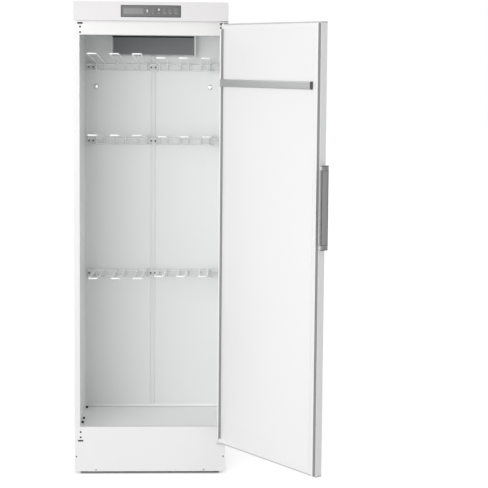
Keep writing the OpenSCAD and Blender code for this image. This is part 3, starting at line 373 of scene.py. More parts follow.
def filter_mat(name, colour):
    """Needled polyester mat of a filter: dull, with a tangle of fibres about 1.5 mm apart."""
    material, shader, coordinates = start_finish(name, colour, (("Roughness", 0.9),))
    vary_colour(material, shader, coordinates, colour, size_mm=25, amount=0.15)
    fibres = add_node(material, "ShaderNodeTexNoise",
                      values=(("Scale", per_metre(1.5)), ("Detail", 5.0), ("Distortion", 1.5)),
                      links=(("Vector", coordinates),))
    raise_surface(material, shader, fibres.outputs["Fac"], depth_mm=0.3, strength=0.8)
    return material


def cover(material, *names):
    """Gives CAD nodes this finish."""
    for name in names:
        mesh = NODES[name].data
        if mesh.materials:
            NODES[name].material_slots[0].material = material
        else:
            mesh.materials.append(material)


def axis_vector(axis):
    """The unit vector along X, Y or Z."""
    return Vector([1.0 if name == axis else 0.0 for name in "XYZ"])


def new_verts(geometry):
    """The vertices among what an operator gave."""
    return [item for item in geometry if isinstance(item, bmesh.types.BMVert)]


def bar(bm, outline, axis, start, length):
    """Draws an outline in mm, square to the axis, and pulls it into a bar. Gives its vertices."""
    first_axis, second_axis = [axis_vector(name) for name in "XYZ" if name != axis]
    corners = []
    for first, second in outline:
        place = axis_vector(axis) * start + first_axis * first + second_axis * second
        corners.append(bm.verts.new(place / MM_PER_M))
    pulled = bmesh.ops.extrude_face_region(bm, geom=[bm.faces.new(corners)])
    ends = new_verts(pulled["geom"])
    bmesh.ops.translate(bm, vec=axis_vector(axis) * length / MM_PER_M, verts=ends)
    return corners + ends


def block(bm, low, high):
    """Pulls a rectangle into a block between two corners in mm. Gives its vertices."""
    outline = ((low[0], low[1]), (high[0], low[1]), (high[0], high[1]), (low[0], high[1]))
    return bar(bm, outline, "Z", low[2], high[2] - low[2])


def frame_of(bm, low, high, width, depth):
    """Draws an upright ring of this width between two corners in mm, and pulls it along Y."""
    x0, y, z0 = low
    x1, _, z1 = high
    rings = []
    for inset in (0, width):
        corners = ((x0 + inset, z0 + inset), (x1 - inset, z0 + inset),
                   (x1 - inset, z1 - inset), (x0 + inset, z1 - inset))
        rings.append([bm.verts.new(Vector((x, y, z)) / MM_PER_M) for x, z in corners])
    outer, inner = rings
    faces = [bm.faces.new((outer[i], outer[i - 3], inner[i - 3], inner[i])) for i in range(4)]
    pulled = bmesh.ops.extrude_face_region(bm, geom=faces)
    bmesh.ops.translate(bm, vec=(0, depth / MM_PER_M, 0), verts=new_verts(pulled["geom"]))


def soften(bm, verts, width_mm, segments=3, along="XYZ"):
    """Rounds the edges between these vertices that run along the named axes."""
    own = set(verts)
    axes = [axis_vector(axis) for axis in along]
    edges = set()
    for vert in verts:
        for edge in vert.link_edges:
            run = (edge.verts[1].co - edge.verts[0].co).normalized()
            if edge.other_vert(vert) in own and any(abs(run.dot(a)) > PARALLEL for a in axes):
                edges.add(edge)
    bmesh.ops.bevel(bm, geom=list(edges), offset=width_mm / MM_PER_M, offset_type="OFFSET",
                    affect="EDGES", segments=segments, profile=0.5, material=-1)


def turned(bm, profile, centre, axis, steps=24):
    """Spins a profile, given as radius and height, round an axis through a point, in mm."""
    up = axis_vector(axis)
    out = axis_vector("XYZ"["XYZ".index(axis) - 1])
    middle = Vector(centre)
    verts = [bm.verts.new((middle + out * radius + up * height) / MM_PER_M)
             for radius, height in profile]
    edges = [bm.edges.new(pair) for pair in zip(verts, verts[1:])]
    bmesh.ops.spin(bm, geom=verts + edges, cent=middle / MM_PER_M, axis=up, dvec=(0, 0, 0),
                   angle=2 * math.pi, steps=steps, use_merge=True)


def islands(bm):
    """The separate solids of a mesh, as lists of vertices."""
    left = set(bm.verts)
    found = []
    while left:
        reached = [left.pop()]
        for vert in reached:
            for edge in vert.link_edges:
                other = edge.other_vert(vert)
                if other in left:
                    left.remove(other)
                    reached.append(other)
        found.append(reached)
    return found


def stretch(bm, verts, scale):
    """Scales vertices about the middle of their box."""
    low = Vector([min(v.co[i] for v in verts) for i in range(3)])
    high = Vector([max(v.co[i] for v in verts) for i in range(3)])
    middle = Matrix.Translation((low + high) / 2)
    matrix = middle @ Matrix.Diagonal((*scale, 1.0)) @ middle.inverted()
    bmesh.ops.transform(bm, matrix=matrix, verts=verts)


def finished_piece(name, bm, material, body, smooth_degrees=40, bevel_mm=0.0):
    """Makes a piece of a bmesh, with its place in its mesh, and lets it ride on a body."""
    mesh = bpy.data.meshes.new(name)
    bm.to_mesh(mesh)
    bm.free()
    mesh.materials.append(material)
    mesh.shade_smooth()
    mesh.set_sharp_from_angle(angle=math.radians(smooth_degrees))
    piece = bpy.data.objects.new(name, mesh)
    bpy.context.scene.collection.objects.link(piece)
    if bevel_mm:
        bevel = piece.modifiers.new("soft edges", "BEVEL")
        bevel.width = bevel_mm / MM_PER_M
        bevel.segments = 2
        bevel.limit_method = "ANGLE"
        bevel.angle_limit = math.radians(35)
        bevel.use_clamp_overlap = True
        bevel.harden_normals = True
    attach(piece, body)
    return piece


def closed_piece(name, bm, material, body, smooth_degrees=40, bevel_mm=0.0, on_door=False):
    """Closes a new shape's poles, turns its faces outwards and makes it a piece.

    A shape that was drawn on the closed door is turned to where the door stands open.
    """
    bmesh.ops.remove_doubles(bm, verts=bm.verts, dist=MERGE_DISTANCE)
    bmesh.ops.recalc_face_normals(bm, faces=bm.faces)
    if on_door:
        bmesh.ops.transform(bm, matrix=DOOR_TURN, verts=bm.verts)
    return finished_piece(name, bm, material, body, smooth_degrees, bevel_mm)


def merged_copy(node):
    """A CAD node's mesh as a bmesh with its loose triangles merged and its flat faces whole."""
    bm = bmesh.new()
    bm.from_mesh(NODES[node].data)
    bmesh.ops.remove_doubles(bm, verts=bm.verts, dist=MERGE_DISTANCE)
    bmesh.ops.dissolve_limit(bm, angle_limit=math.radians(0.5), verts=bm.verts, edges=bm.edges)
    return bm


def dress(node, material, bevel_mm=0.4, smooth_degrees=40):
    """Stands for a CAD node with a copy that is smooth round its curves and soft at its edges."""
    piece = finished_piece("dressed_" + node, merged_copy(node), material,
                           NODES[node]["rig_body"], smooth_degrees, bevel_mm)
    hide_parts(node)


def finish_colour(name, description, hex_colour):
    """A finish's colour as a property that can be changed in the sidebar."""
    return bpy.props.FloatVectorProperty(
        name=name, description=description, subtype="COLOR", size=4, min=0, max=1,
        default=linear(hex_colour))


class CabinetFinish(bpy.types.PropertyGroup):
    """Colours of the cabinet's finishes."""

    body: finish_colour("Body", "Enamel of the panels and the door", "#E9E9E8")
    # lighter than the body's enamel, as painted light on the panel under the opening
    lower: finish_colour("Lower panel", "Enamel of the panel under the opening", "#ECEBEC")
    fascia: finish_colour("Fascia", "Moulded fascia", "#DFDDDE")
    liner: finish_colour("Liner", "Enamel inside the chamber", "#EEEFEF")
    door_liner: finish_colour("Door liner", "Enamel of the door's inner face", "#EEEEEE")
    # whiter than the liner's enamel, as painted light on the tray's upward face
    tray: finish_colour("Tray", "Enamel of the floor tray", "#FEFEFE")
    rack: finish_colour("Racks", "Coating of the wire racks", "#FFFFFF")
    outlet: finish_colour("Air outlet", "Moulded louvre of the air outlet", "#BABCBE")
    panel: finish_colour("Control panel", "Moulded control panel", "#6F6F70")
    display: finish_colour("Display", "Window over the display", "#7B7B7C")
    # partly the seals' own grey and partly painted shade on their sides
    seal: finish_colour("Seals", "Upright door seals", "#9D9D9D")
    rail: finish_colour("Door rail", "Aluminium of the rail inside the door", "#D3D3D4")
    handle: finish_colour("Handle", "Painted door handle", "#959596")


class CabinetStage(bpy.types.PropertyGroup):
    """Sizes of the studio and strength of its light."""

    floor_size: bpy.props.FloatProperty(
        name="Floor", description="Width of the pale floor", unit="LENGTH",
        min=5, max=200, default=60)
    daylight: bpy.props.FloatProperty(
        name="Daylight", description="Strength of the even light all round",
        min=0, max=3, default=0.6)
    key_power: bpy.props.FloatProperty(
        name="Key light", description="Power of the large light at the left front, in watts",
        min=0, max=5000, default=184)


class CABINET_OT_enamel_sheet(bpy.types.Operator):
    """Enamels the outer panels, the door and the chamber's liners."""

    bl_idname = "cabinet.enamel_sheet"
    bl_label = "Enamelled sheet"

    def execute(self, context):
        colours = context.scene.cabinet_finish
        body = enamel("white stove enamel", list(colours.body))
        for node in ("left_side_panel", "right_side_panel", "door_shell", "front_header"):
            dress(node, body, 0.6)
        # a bevel on the roof's edges would stand out past the solids' box
        dress("roof_panel", body, 0.0)
        # the lower panel's enamel is lighter than the body's, as painted light
        lower = enamel("white enamel of the lower panel with painted light", list(colours.lower), 0.36)
        dress("lower_front_panel", lower, 0.8)
        liner = enamel("white enamel of the chamber", list(colours.liner), 0.38)
        for node in ("left_liner", "right_liner", "rear_liner_left", "rear_liner_right",
                     "ceiling_liner"):
            dress(node, liner)
        dress("rear_seam_strip", enamel("white enamel of the seam strip", linear("#E9E9E9"), 0.34))
        door_liner = enamel("white enamel of the door's liner", list(colours.door_liner), 0.36)
        dress("door_liner", door_liner, 0.6)
        zinc = galvanised("galvanised sheet", linear("#B4B7BA"))
        cover(zinc, "rear_panel", "base_frame", "fan_scroll", "door_stiffeners", "exhaust_collar")
        return {"FINISHED"}


def across_chamber(bm, outline, gap):
    """Pulls an outline on Y and Z across the chamber, this far short of each side liner."""
    return bar(bm, outline, "X", gap - LINER_X, 2 * (LINER_X - gap))


class CABINET_OT_tray(bpy.types.Operator):
    """Finishes the floor tray, with a hem on its rear edge, a grey silicone bead at its foot that
    is partly painted shade of the crease, and black clips.
    """

    bl_idname = "cabinet.tray"
    bl_label = "Floor tray"

    def execute(self, context):
        tray = context.scene.cabinet_finish.tray
        # the tray's white is lighter than the liner's, as painted light on its upward face
        white = enamel("white enamel of the tray with painted light", list(tray), 0.34)
        dress("floor_tray", white)
        low, top = HEM_Z
        front, rear = LINER_Y - 2.6, LINER_Y - 0.1
        bm = bmesh.new()
        hem = across_chamber(bm, ((front, low), (rear, low), (rear, top), (front, top)), 1.5)
        soften(bm, hem, 1.1, along="X")
        closed_piece("tray_hem", bm, white, "cabinet")
        bead = ((-5.2, 0), (-1.3, 0), (-1.3, 3.8), (-2.6, 1.6))
        bm = bmesh.new()
        across_chamber(bm, [(LINER_Y + y, TRAY_Z + z) for y, z in bead], 2.5)
        # the bead's grey is partly the silicone's own colour and partly painted shade in the crease
        # between the tray and the rear wall
        silicone = seal_rubber("grey silicone with painted crease shade", linear("#D2D4D4"), "X")
        closed_piece("tray_sealant_and_crease_shade", bm, silicone, "cabinet")
        # the left clips are drawn as large as they show in the photograph
        left_scale = (2.3, 1.0, 1.5)
        left_shift = (0.0026, 0, 0.00125)
        bm = merged_copy("tray_clips")
        for clip in islands(bm):
            if clip[0].co.x < 0:
                stretch(bm, clip, left_scale)
                bmesh.ops.translate(bm, vec=left_shift, verts=clip)
        black = moulded_plastic("black polyamide of the clips", linear("#1B1C1D"), 0.5)
        clips = finished_piece("dressed_tray_clips", bm, black, "cabinet", bevel_mm=0.5)
        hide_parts("tray_clips")
        return {"FINISHED"}


def panel_shade_rim(corners, width, depth):
    """A ring round two corners on the control panel's face, as a bmesh."""
    (left, low), (right, top) = corners
    bm = bmesh.new()
    frame_of(bm, (left, PANEL_Y, low), (right, PANEL_Y, top), width, depth)
    return bm


def panel_plate(corners, front, back, corner_mm, segments=3):
    """A plate with round corners in the control panel's face, as a bmesh."""
    (left, low), (right, top) = corners
    bm = bmesh.new()
    plate = block(bm, (left, PANEL_Y + front, low), (right, PANEL_Y + back, top))
    soften(bm, plate, corner_mm, segments, "Y")
    return bm


class CABINET_OT_fascia(bpy.types.Operator):
    """Finishes the fascia, and the control panel with its display, keys and lamps, and dark rims of
    painted shade round the panel and the display.
    """

    bl_idname = "cabinet.fascia"
    bl_label = "Fascia and controls"

    def execute(self, context):
        colours = context.scene.cabinet_finish
        dress("fascia", moulded_plastic("white ABS", list(colours.fascia), 0.34), 1.2)
        panel = printed_plastic("grey ABS with a printed field", list(colours.panel),
                                linear("#666667"), KEY_FIELD_X)
        dress("control_panel", panel)
        dress("display_window", display_glass("smoked acrylic", list(colours.display)), 0.2)
        # the dark grey rims are painted shade of the recesses round the panel and the display
        dark = moulded_plastic("dark grey painted shade round the panel and display", linear("#4B4D50"), 0.45)
        closed_piece("panel_shade_rim", panel_shade_rim(PANEL_CORNERS, 3.2, -0.5), dark, "cabinet",
                     bevel_mm=0.15)
        closed_piece("display_shade_rim", panel_shade_rim(DISPLAY_CORNERS, 1.6, -0.3), dark, "cabinet",
                     bevel_mm=0.1)
        crystal = display_glass("liquid crystal behind acrylic", linear("#878788"))
        closed_piece("display_field", panel_plate(FIELD_CORNERS, -0.12, 0.4, 2), crystal,
                     "cabinet")
        key = moulded_plastic("grey ABS of the keys", list(colours.panel), 0.45)
        mark = moulded_plastic("pale grey print on the keys", linear("#A0A0A1"), 0.5)
        for number, button in enumerate(BUTTONS):
            dress(button, key, 0.6)
            middle = KEY_FIRST + KEY_PITCH * number
            corners = ((middle - KEY_MARK_HALF, KEY_MARK_Z[0]),
                       (middle + KEY_MARK_HALF, KEY_MARK_Z[1]))
            closed_piece("key_mark_%d" % (number + 1), panel_plate(corners, -0.7, -0.3, 0.7),
                         mark, button)
        lamp = display_glass("milky lens of a lamp", linear("#C6C7C7"))
        lens = panel_plate(READY_LAMP_CORNERS, -0.8, 0.3, 2.9, segments=5)
        closed_piece("ready_lamp", lens, lamp, "cabinet", bevel_mm=0.3)
        dome = ((0, -1.2), (2.4, -1.1), (3.6, -0.8), (4.2, -0.3), (4.2, 0.4), (0, 0.4))
        bm = bmesh.new()
        turned(bm, dome, KEY_LAMP_PLACE, "Y")
        closed_piece("key_lamp", bm, lamp, "button_2")
        cover(circuit_lacquer("solder lacquer", linear("#1F5A33")), "control_board")
        return {"FINISHED"}


class CABINET_OT_outlet(bpy.types.Operator):
    """Makes the warm-air outlet: a louvre of sloping blades in the duct, over a filter mat, and
    black bands of painted shade along its top and right edges.
    """

    bl_idname = "cabinet.outlet"
    bl_label = "Air outlet"

    def execute(self, context):
        dress("air_duct", enamel("white enamel of the duct", linear("#EDEEEE"), 0.38))
        outlet = context.scene.cabinet_finish.outlet
        grey = moulded_plastic("dark grey ABS of the outlet", list(outlet), 0.5)
        bm = bmesh.new()
        frame_of(bm, (-GRILLE_HALF, GRILLE_Y, GRILLE_LOW), (GRILLE_HALF, GRILLE_Y, GRILLE_TOP),
                 GRILLE_RIM, 9.9)
        step = (GRILLE_TOP - GRILLE_LOW - 2 * GRILLE_RIM) / BLADES
        blade = ((1, -3.3), (2.3, -3.3), (9, 2.4), (7.7, 2.4))
        for number in range(BLADES):
            middle = GRILLE_LOW + GRILLE_RIM + (number + 0.5) * step
            bar(bm, [(GRILLE_Y + y, middle + z) for y, z in blade], "X", -BLADE_HALF,
                2 * BLADE_HALF)
        louvre = closed_piece("outlet_louvre", bm, grey, "cabinet", 30)
        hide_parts("fan_grille")
        inset = GRILLE_RIM + 0.2
        bm = bmesh.new()
        mat = block(bm, (inset - GRILLE_HALF, GRILLE_Y + 9.2, GRILLE_LOW + inset),
                    (GRILLE_HALF - inset, GRILLE_Y + 9.8, GRILLE_TOP - inset))
        soften(bm, mat, 0.2, 1)
        charcoal = filter_mat("charcoal filter mat", linear("#3A3C3E"))
        closed_piece("outlet_filter", bm, charcoal, "cabinet")
        # black bands of painted shade along the outlet's top and right edges
        strips = (((-GRILLE_HALF, GRILLE_TOP - 5), (GRILLE_HALF, GRILLE_TOP)),
                  ((GRILLE_HALF - 2.4, GRILLE_LOW), (GRILLE_HALF, GRILLE_TOP - 5.2)))
        bm = bmesh.new()
        for low, high in strips:
            strip = block(bm, (low[0], GRILLE_Y - 0.6, low[1]), (high[0], GRILLE_Y + 0.4, high[1]))
            soften(bm, strip, 0.3, 2)
        outlet_shade_black = filter_mat("black painted shade along the outlet's edges", linear("#2B2C2E"))
        closed_piece("outlet_shade_strips", bm, outlet_shade_black, "cabinet")
        return {"FINISHED"}


class CABINET_OT_air_system(bpy.types.Operator):
    """Finishes the fan, its motor, the heater and the black parts of the wiring."""

    bl_idname = "cabinet.air_system"
    bl_label = "Air system"

    def execute(self, context):
        cover(moulded_plastic("motor lacquer", linear("#4A4D50"), 0.5), "fan_motor")
        wheel = brushed_metal("drawn aluminium of the fan wheel", linear("#BFC2C4"), 0.35, "X")
        cover(wheel, "fan_impeller")
        cover(brushed_metal("heater tube steel", linear("#8C8580"), 0.4, "X"), "heating_element")
        black = moulded_plastic("black polyamide", linear("#202122"), 0.5)
        cover(black, "cable_gland", "door_sensor")
        return {"FINISHED"}


class CABINET_OT_racks(bpy.types.Operator):
    """Finishes the six wire racks, with a weld at each crossing, and their brackets."""

    bl_idname = "cabinet.racks"
    bl_label = "Hanging racks"

    def execute(self, context):
        rack_colour = context.scene.cabinet_finish.rack
        coat = enamel("white epoxy coat on wire", list(rack_colour), 0.2, 1.0)
        weld = ((0, -4.6), (1.5, -3.6), (2.3, -1.6), (2.3, 1.6), (1.5, 3.6), (0, 4.6))
        for row, height in zip(RACK_ROWS, RACK_HEIGHTS):
            for side, sign in zip(SIDES, (-1, 1)):
                rack = "rack_%s_%s" % (row, side)
                dress(rack, coat, bevel_mm=0.0, smooth_degrees=50)
                bm = bmesh.new()
                for loop in range(LOOPS):
                    for leg in (-LOOP_HALF, LOOP_HALF):
                        x = (LOOP_FIRST + loop * LOOP_PITCH) * sign - LOOP_SHIFT + leg
                        for z in (height, height - RACK_WIRES):
                            turned(bm, weld, (x, WELD_Y, z), "X", 8)
                closed_piece("welds_" + rack, bm, coat, rack, 60)
        dress("rack_brackets", moulded_plastic("white polyamide", linear("#E9EAEA"), 0.4))
        return {"FINISHED"}


class CABINET_OT_wall_plugs(bpy.types.Operator):
    """Makes the two domed caps over the wall fixings, each in a thin grey ring of painted shade."""

    bl_idname = "cabinet.wall_plugs"
    bl_label = "Wall plugs"

    def execute(self, context):
        dome = ((0, -3.5), (6.6, -3.4), (8, -2.8), (8.6, -1.6), (8.6, 0), (0, 0))
        thick = 0.9
        ring = ((8.2, -thick), (9.8, -thick), (10.4, -0.4), (10.4, 0), (8.2, 0), (8.2, -thick))
        domes = bmesh.new()
        rings = bmesh.new()
        for x, z in WALL_FIXINGS:
            turned(domes, dome, (x, LINER_Y - thick, z), "Y", 32)
            turned(rings, ring, (x, LINER_Y, z), "Y", 32)
        steel = brushed_metal("polished steel of the caps", linear("#FAFAFA"), 0.16, "X")
        caps = closed_piece("wall_caps", domes, steel, "cabinet")
        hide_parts("wall_plugs")
        # the thin grey ring round each cap is painted shade
        cap_shade_grey = seal_rubber("grey painted shade round the caps", linear("#BFC1C2"))
        closed_piece("wall_cap_shade_rings", rings, cap_shade_grey, "cabinet")
        return {"FINISHED"}


class CABINET_OT_door_seals(bpy.types.Operator):
    """Makes the upright door seals: a folded grey bellows behind a pale magnet strip, the grey
    partly painted shade on the seal's side and the pale partly painted light on its face.
    """

    bl_idname = "cabinet.door_seals"
    bl_label = "Door seals"

    def execute(self, context):
        # the free edge's seal is one run, and the hinge side's is parted by the rail
        runs = ((-296, -290.5, DOOR_LOW + 5, DOOR_TOP - 5),
                (284, 290, DOOR_LOW + 20, RAIL_LOW - 0.5),
                (284, 290, RAIL_TOP + 0.5, DOOR_TOP - 20))
        folds = ((0.1, DOOR_IN_Y), (0.1, -291.8), (1.3, -290), (0.3, -287.4), (1.3, -284.8),
                 (0.5, -281.3))
        tip_back, tip_front = -281.4, -278.4
        bellows = bmesh.new()
        tips = bmesh.new()
        for low, high, bottom, top in runs:
            outline = [(low + inset, y) for inset, y in folds]
            outline += [(high - inset, y) for inset, y in reversed(folds)]
            bar(bellows, outline, "Z", bottom, top - bottom)
            tip = block(tips, (low, tip_back, bottom), (high, tip_front, top))
            soften(tips, tip, 0.9, along="Z")
        # the bellows' grey is partly the seal's own colour and partly painted shade on its side
        grey = seal_rubber("grey seal PVC with painted shade", list(context.scene.cabinet_finish.seal))
        folded = closed_piece("seal_bellows", bellows, grey, "door", 25, on_door=True)
        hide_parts("door_seals")
        # the tips' white is partly the strip's own colour and partly painted light on its face
        white = seal_rubber("white seal PVC with painted light", linear("#F3F3F2"))
        closed_piece("seal_tips", tips, white, "door", on_door=True)
        return {"FINISHED"}


class CABINET_OT_door_trim(bpy.types.Operator):
    """Makes the door's end caps and grooved rail, and finishes its edge and the rail's ends."""

    bl_idname = "cabinet.door_trim"
    bl_label = "Door trim"

    def execute(self, context):
        strip = moulded_plastic("pale grey ABS of the edge", linear("#E6E7E8"), 0.4)
        dress("door_edge_trim", strip)
        bm = bmesh.new()
        for low, high in ((DOOR_LOW - 0.3, DOOR_LOW + 5.2), (DOOR_TOP - 5.2, DOOR_TOP + 0.3)):
            inner = block(bm, (-289.8, DOOR_IN_Y - 0.2, low), (283.6, DOOR_IN_Y + 0.7, high))
            soften(bm, inner, 0.3, 2)
            free = block(bm, (-298.5, DOOR_OUT_Y + 0.6, low), (-296.2, DOOR_IN_Y + 0.4, high))
            soften(bm, free, 0.5, 2)
        grey = moulded_plastic("grey ABS of the end caps", linear("#C6C8C9"), 0.42)
        closed_piece("door_end_caps", bm, grey, "door", on_door=True)
        self.make_rail(list(context.scene.cabinet_finish.rail))
        pale = moulded_plastic("pale ABS of the rail's end", linear("#D8D9DA"), 0.4)
        dress("rail_end_light", pale, 0.6)
        dark = moulded_plastic("dark ABS of the rail's end", linear("#505255"), 0.45)
        dress("rail_end_dark", dark, 0.6)
        cover(moulded_plastic("natural polyamide", linear("#DEDACC"), 0.45), "door_bushes")
        return {"FINISHED"}

    def make_rail(self, colour):
        """Makes the rail, with two grooves along its face and round outer edges."""
        back, face = DOOR_IN_Y + 1.5, RAIL_FACE_Y
        groove = ((0, 8), (0.9, 8.6), (0.9, 9.6), (0, 10.2))
        outline = [(back, RAIL_LOW), (face, RAIL_LOW)]
        outline += [(face - depth, RAIL_LOW + inset) for depth, inset in groove]
        outline += [(face - depth, RAIL_TOP - inset) for depth, inset in reversed(groove)]
        outline += [(face, RAIL_TOP), (back, RAIL_TOP)]
        bm = bmesh.new()
        verts = bar(bm, outline, "X", RAIL_X, RAIL_LENGTH)
        near = 0.01
        corners = [vert for vert in verts if abs(vert.co.y * MM_PER_M - face) < near
                   and min(abs(vert.co.z * MM_PER_M - end) for end in (RAIL_LOW, RAIL_TOP)) < near]
        soften(bm, corners, 4.6, 5, "X")
        aluminium = brushed_metal("drawn aluminium of the rail", colour, 0.42, "X")
        grooved = closed_piece("grooved_rail", bm, aluminium, "door", 30, on_door=True)
        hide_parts("door_rail")


class CABINET_OT_handle(bpy.types.Operator):
    """Makes the handle: a painted bar with dark bands of painted shade along its rounded edges and
    in its joints, two ends and two posts.
    """

    bl_idname = "cabinet.handle"
    bl_label = "Handle"

    def execute(self, context):
        paint = enamel("grey enamel of the handle", list(context.scene.cabinet_finish.handle), 0.4)
        dark = moulded_plastic("dark grey painted shade on the handle's edges and joints", linear("#5C5E61"), 0.5)
        outer, inner = HANDLE_X
        front, back = HANDLE_Y
        bottom, top = HANDLE_BAR_Z
        painted = bmesh.new()
        posts = bmesh.new()
        bar_inset = EDGE_SHADE_WIDTH + 0.1
        middle = block(painted, (outer, front + bar_inset, bottom), (inner, back - bar_inset, top))
        soften(painted, middle, 1.2, along="Z")
        for low, high in HANDLE_ENDS:
            soften(painted, block(painted, (outer, front, low), (inner, back, high)), 2, 4, "Z")
            post = block(posts, (inner - 0.1, front + 2.5, low + 1),
                         (POST_END_X, back - 2.5, high - 1))
            soften(posts, post, 1.5, along="Z")
        handle = closed_piece("handle_bar", painted, paint, "door", on_door=True)
        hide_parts("handle")
        pale = moulded_plastic("pale grey ABS of the posts", linear("#DCDDDD"), 0.4)
        closed_piece("handle_posts", posts, pale, "door", on_door=True)
        # dark bands of painted shade along the bar's rounded edges and in the joints at its ends
        joints = bmesh.new()
        for low, high in ((front, front + EDGE_SHADE_WIDTH), (back - EDGE_SHADE_WIDTH, back)):
            edge_shade = block(joints, (outer + 0.6, low, bottom), (inner - 0.2, high, top))
            soften(joints, edge_shade, 1.2, along="Z")
        for low, high in HANDLE_JOINTS:
            joint = block(joints, (outer + 0.4, front + 0.4, low), (inner - 0.3, back - 0.4, high))
            soften(joints, joint, 0.9, along="Z")
        closed_piece("handle_edge_and_joint_shade", joints, dark, "door", on_door=True)
        steel = brushed_metal("screw steel of the handle", linear("#878788"), 0.4, "Z")
        dress("handle_screws", steel, 0.2)
        return {"FINISHED"}


class CABINET_OT_hinges(bpy.types.Operator):
    """Finishes the hinges, their washers, the screws and the covers of unused hinge holes."""

    bl_idname = "cabinet.hinges"
    bl_label = "Hinges and screws"

    def execute(self, context):
        white = enamel("white enamel of the hinges", list(context.scene.cabinet_finish.body), 0.36)
        for node in ("hinge_top", "hinge_bottom"):
            dress(node, white)
        self.dress_screws()
        axis = (HINGE_X * MM_PER_M, HINGE_Y * MM_PER_M)
        cap = ((0, 0), (8, 0), (8.5, 0.5), (8.5, 7), (7.6, 8.2), (0, 8.6))
        ring = ((3.9, 0), (7, 0), (7.4, 0.4), (7.4, 2), (7, 2.4), (3.9, 2.4), (3.9, 0))
        screw_head = ((0, -2.4), (3, -2.3), (5, -1.6), (5.8, 0), (0, 0))
        bm = bmesh.new()
        turned(bm, cap, (*axis, PIN_CAP_Z), "Z", 32)
        turned(bm, ring, (*axis, PIN_RING_Z), "Z", 32)
        turned(bm, screw_head, HINGE_SCREW_PLACE, "Y")
        acetal = moulded_plastic("black acetal of the washers", linear("#2C2D2F"), 0.45)
        closed_piece("hinge_washers", bm, acetal, "cabinet")
        # the covers are drawn as large as they show in the photograph; the wide ones close slots
        slot_length = 0.01
        slot_scale = (0.9, 1.0, 1.25)
        plug_scale = (1.36, 1.0, 1.36)
        bm = merged_copy("spare_hinge_plugs")
        for plug in islands(bm):
            width = max(vert.co.x for vert in plug) - min(vert.co.x for vert in plug)
            stretch(bm, plug, slot_scale if width > slot_length else plug_scale)
        black = moulded_plastic("black polyamide of the plugs", linear("#151617"), 0.6)
        plugs = finished_piece("dressed_hinge_plugs", bm, black, "cabinet", bevel_mm=0.2)
        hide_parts("spare_hinge_plugs")
        return {"FINISHED"}

    def dress_screws(self):
        """Finishes the screws in dark steel, and those of the right-hand brackets in white."""
        brackets_x, brackets_y = 0.24, 0.1
        screws = merged_copy("cabinet_screws")
        for screw in islands(screws):
            if screw[0].co.x > brackets_x and screw[0].co.y > brackets_y:
                for face in {face for vert in screw for face in vert.link_faces}:
                    face.material_index = 1
        steel = brushed_metal("dark screw steel", linear("#55575A"), 0.45, "Z")
        dressed = finished_piece("dressed_cabinet_screws", screws, steel, "cabinet")
        white = enamel("white lacquer of the screws", linear("#E9EAEA"), 0.4)
        dressed.data.materials.append(white)
        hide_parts("cabinet_screws")


class CABINET_OT_rear_screws(bpy.types.Operator):
    """Makes the domed screws round the edge of the rear panel."""

    bl_idname = "cabinet.rear_screws"
    bl_label = "Rear screws"

    def execute(self, context):
        dome = ((0, 0), (4.2, 0), (4, 0.9), (3, 1.7), (1.5, 2.1), (1.4, 1.1), (0, 1.1))
        spots = [(x, z) for x in (-REAR_SCREW_X, REAR_SCREW_X) for z in REAR_SCREW_HEIGHTS]
        spots += [(x, z) for x in REAR_END_SCREWS_X for z in REAR_END_SCREWS_Z]
        bm = bmesh.new()
        for x, z in spots:
            turned(bm, dome, (x, REAR_Y, z), "Y", 16)
        zinc = brushed_metal("zinc-plated screws", linear("#9C9EA0"), 0.35, "X")
        closed_piece("rear_screws", bm, zinc, "cabinet")
        return {"FINISHED"}


class CABINET_OT_feet(bpy.types.Operator):
    """Finishes the levelling feet."""

    bl_idname = "cabinet.feet"
    bl_label = "Levelling feet"

    def execute(self, context):
        foot = moulded_plastic("black polyamide of the feet", linear("#2A2B2C"), 0.5)
        for node in FEET:
            dress(node, foot, 0.5)
        return {"FINISHED"}


class CABINET_OT_stage(bpy.types.Operator):
    """Sets the camera, the pale floor and the soft light."""

    bl_idname = "cabinet.stage"
    bl_label = "Stage"

    def execute(self, context):
        stage = context.scene.cabinet_stage
        add_camera()
        add_floor("floor", stage.floor_size / 2, 0, FLOOR_GLOW)
        add_floor("floor under the cabinet", SHADE_HALF, SHADE_HEIGHT, 0)
        add_light(stage.key_power)
        add_sky(stage.daylight)
        context.scene.view_settings.view_transform = "Standard"
        return {"FINISHED"}


def add_camera():
    """The camera at the photograph's angle: a long lens at eye height."""
    yaw, pitch, roll = (math.radians(angle) for angle in CAMERA_TURNS)
    forward = Vector((math.sin(yaw) * math.cos(pitch), math.cos(yaw) * math.cos(pitch),
                      math.sin(pitch)))
    level = Vector((math.cos(yaw), -math.sin(yaw), 0))
    upright = level.cross(forward)
    right = level * math.cos(roll) + upright * math.sin(roll)
    up = upright * math.cos(roll) - level * math.sin(roll)
    data = bpy.data.cameras.new("camera")
    data.sensor_width = SENSOR_MM
    data.lens = FOCAL_PIXELS * SENSOR_MM / PHOTO_WIDTH
    data.shift_y = (AXIS_ROW - PHOTO_HEIGHT / 2) / PHOTO_WIDTH
    data.clip_end = 200
    camera = bpy.data.objects.new("camera", data)
    facing = Matrix((right, up, -forward)).transposed().to_4x4()
    camera.matrix_world = Matrix.Translation(CAMERA_PLACE) @ facing
    bpy.context.scene.collection.objects.link(camera)
    bpy.context.scene.camera = camera


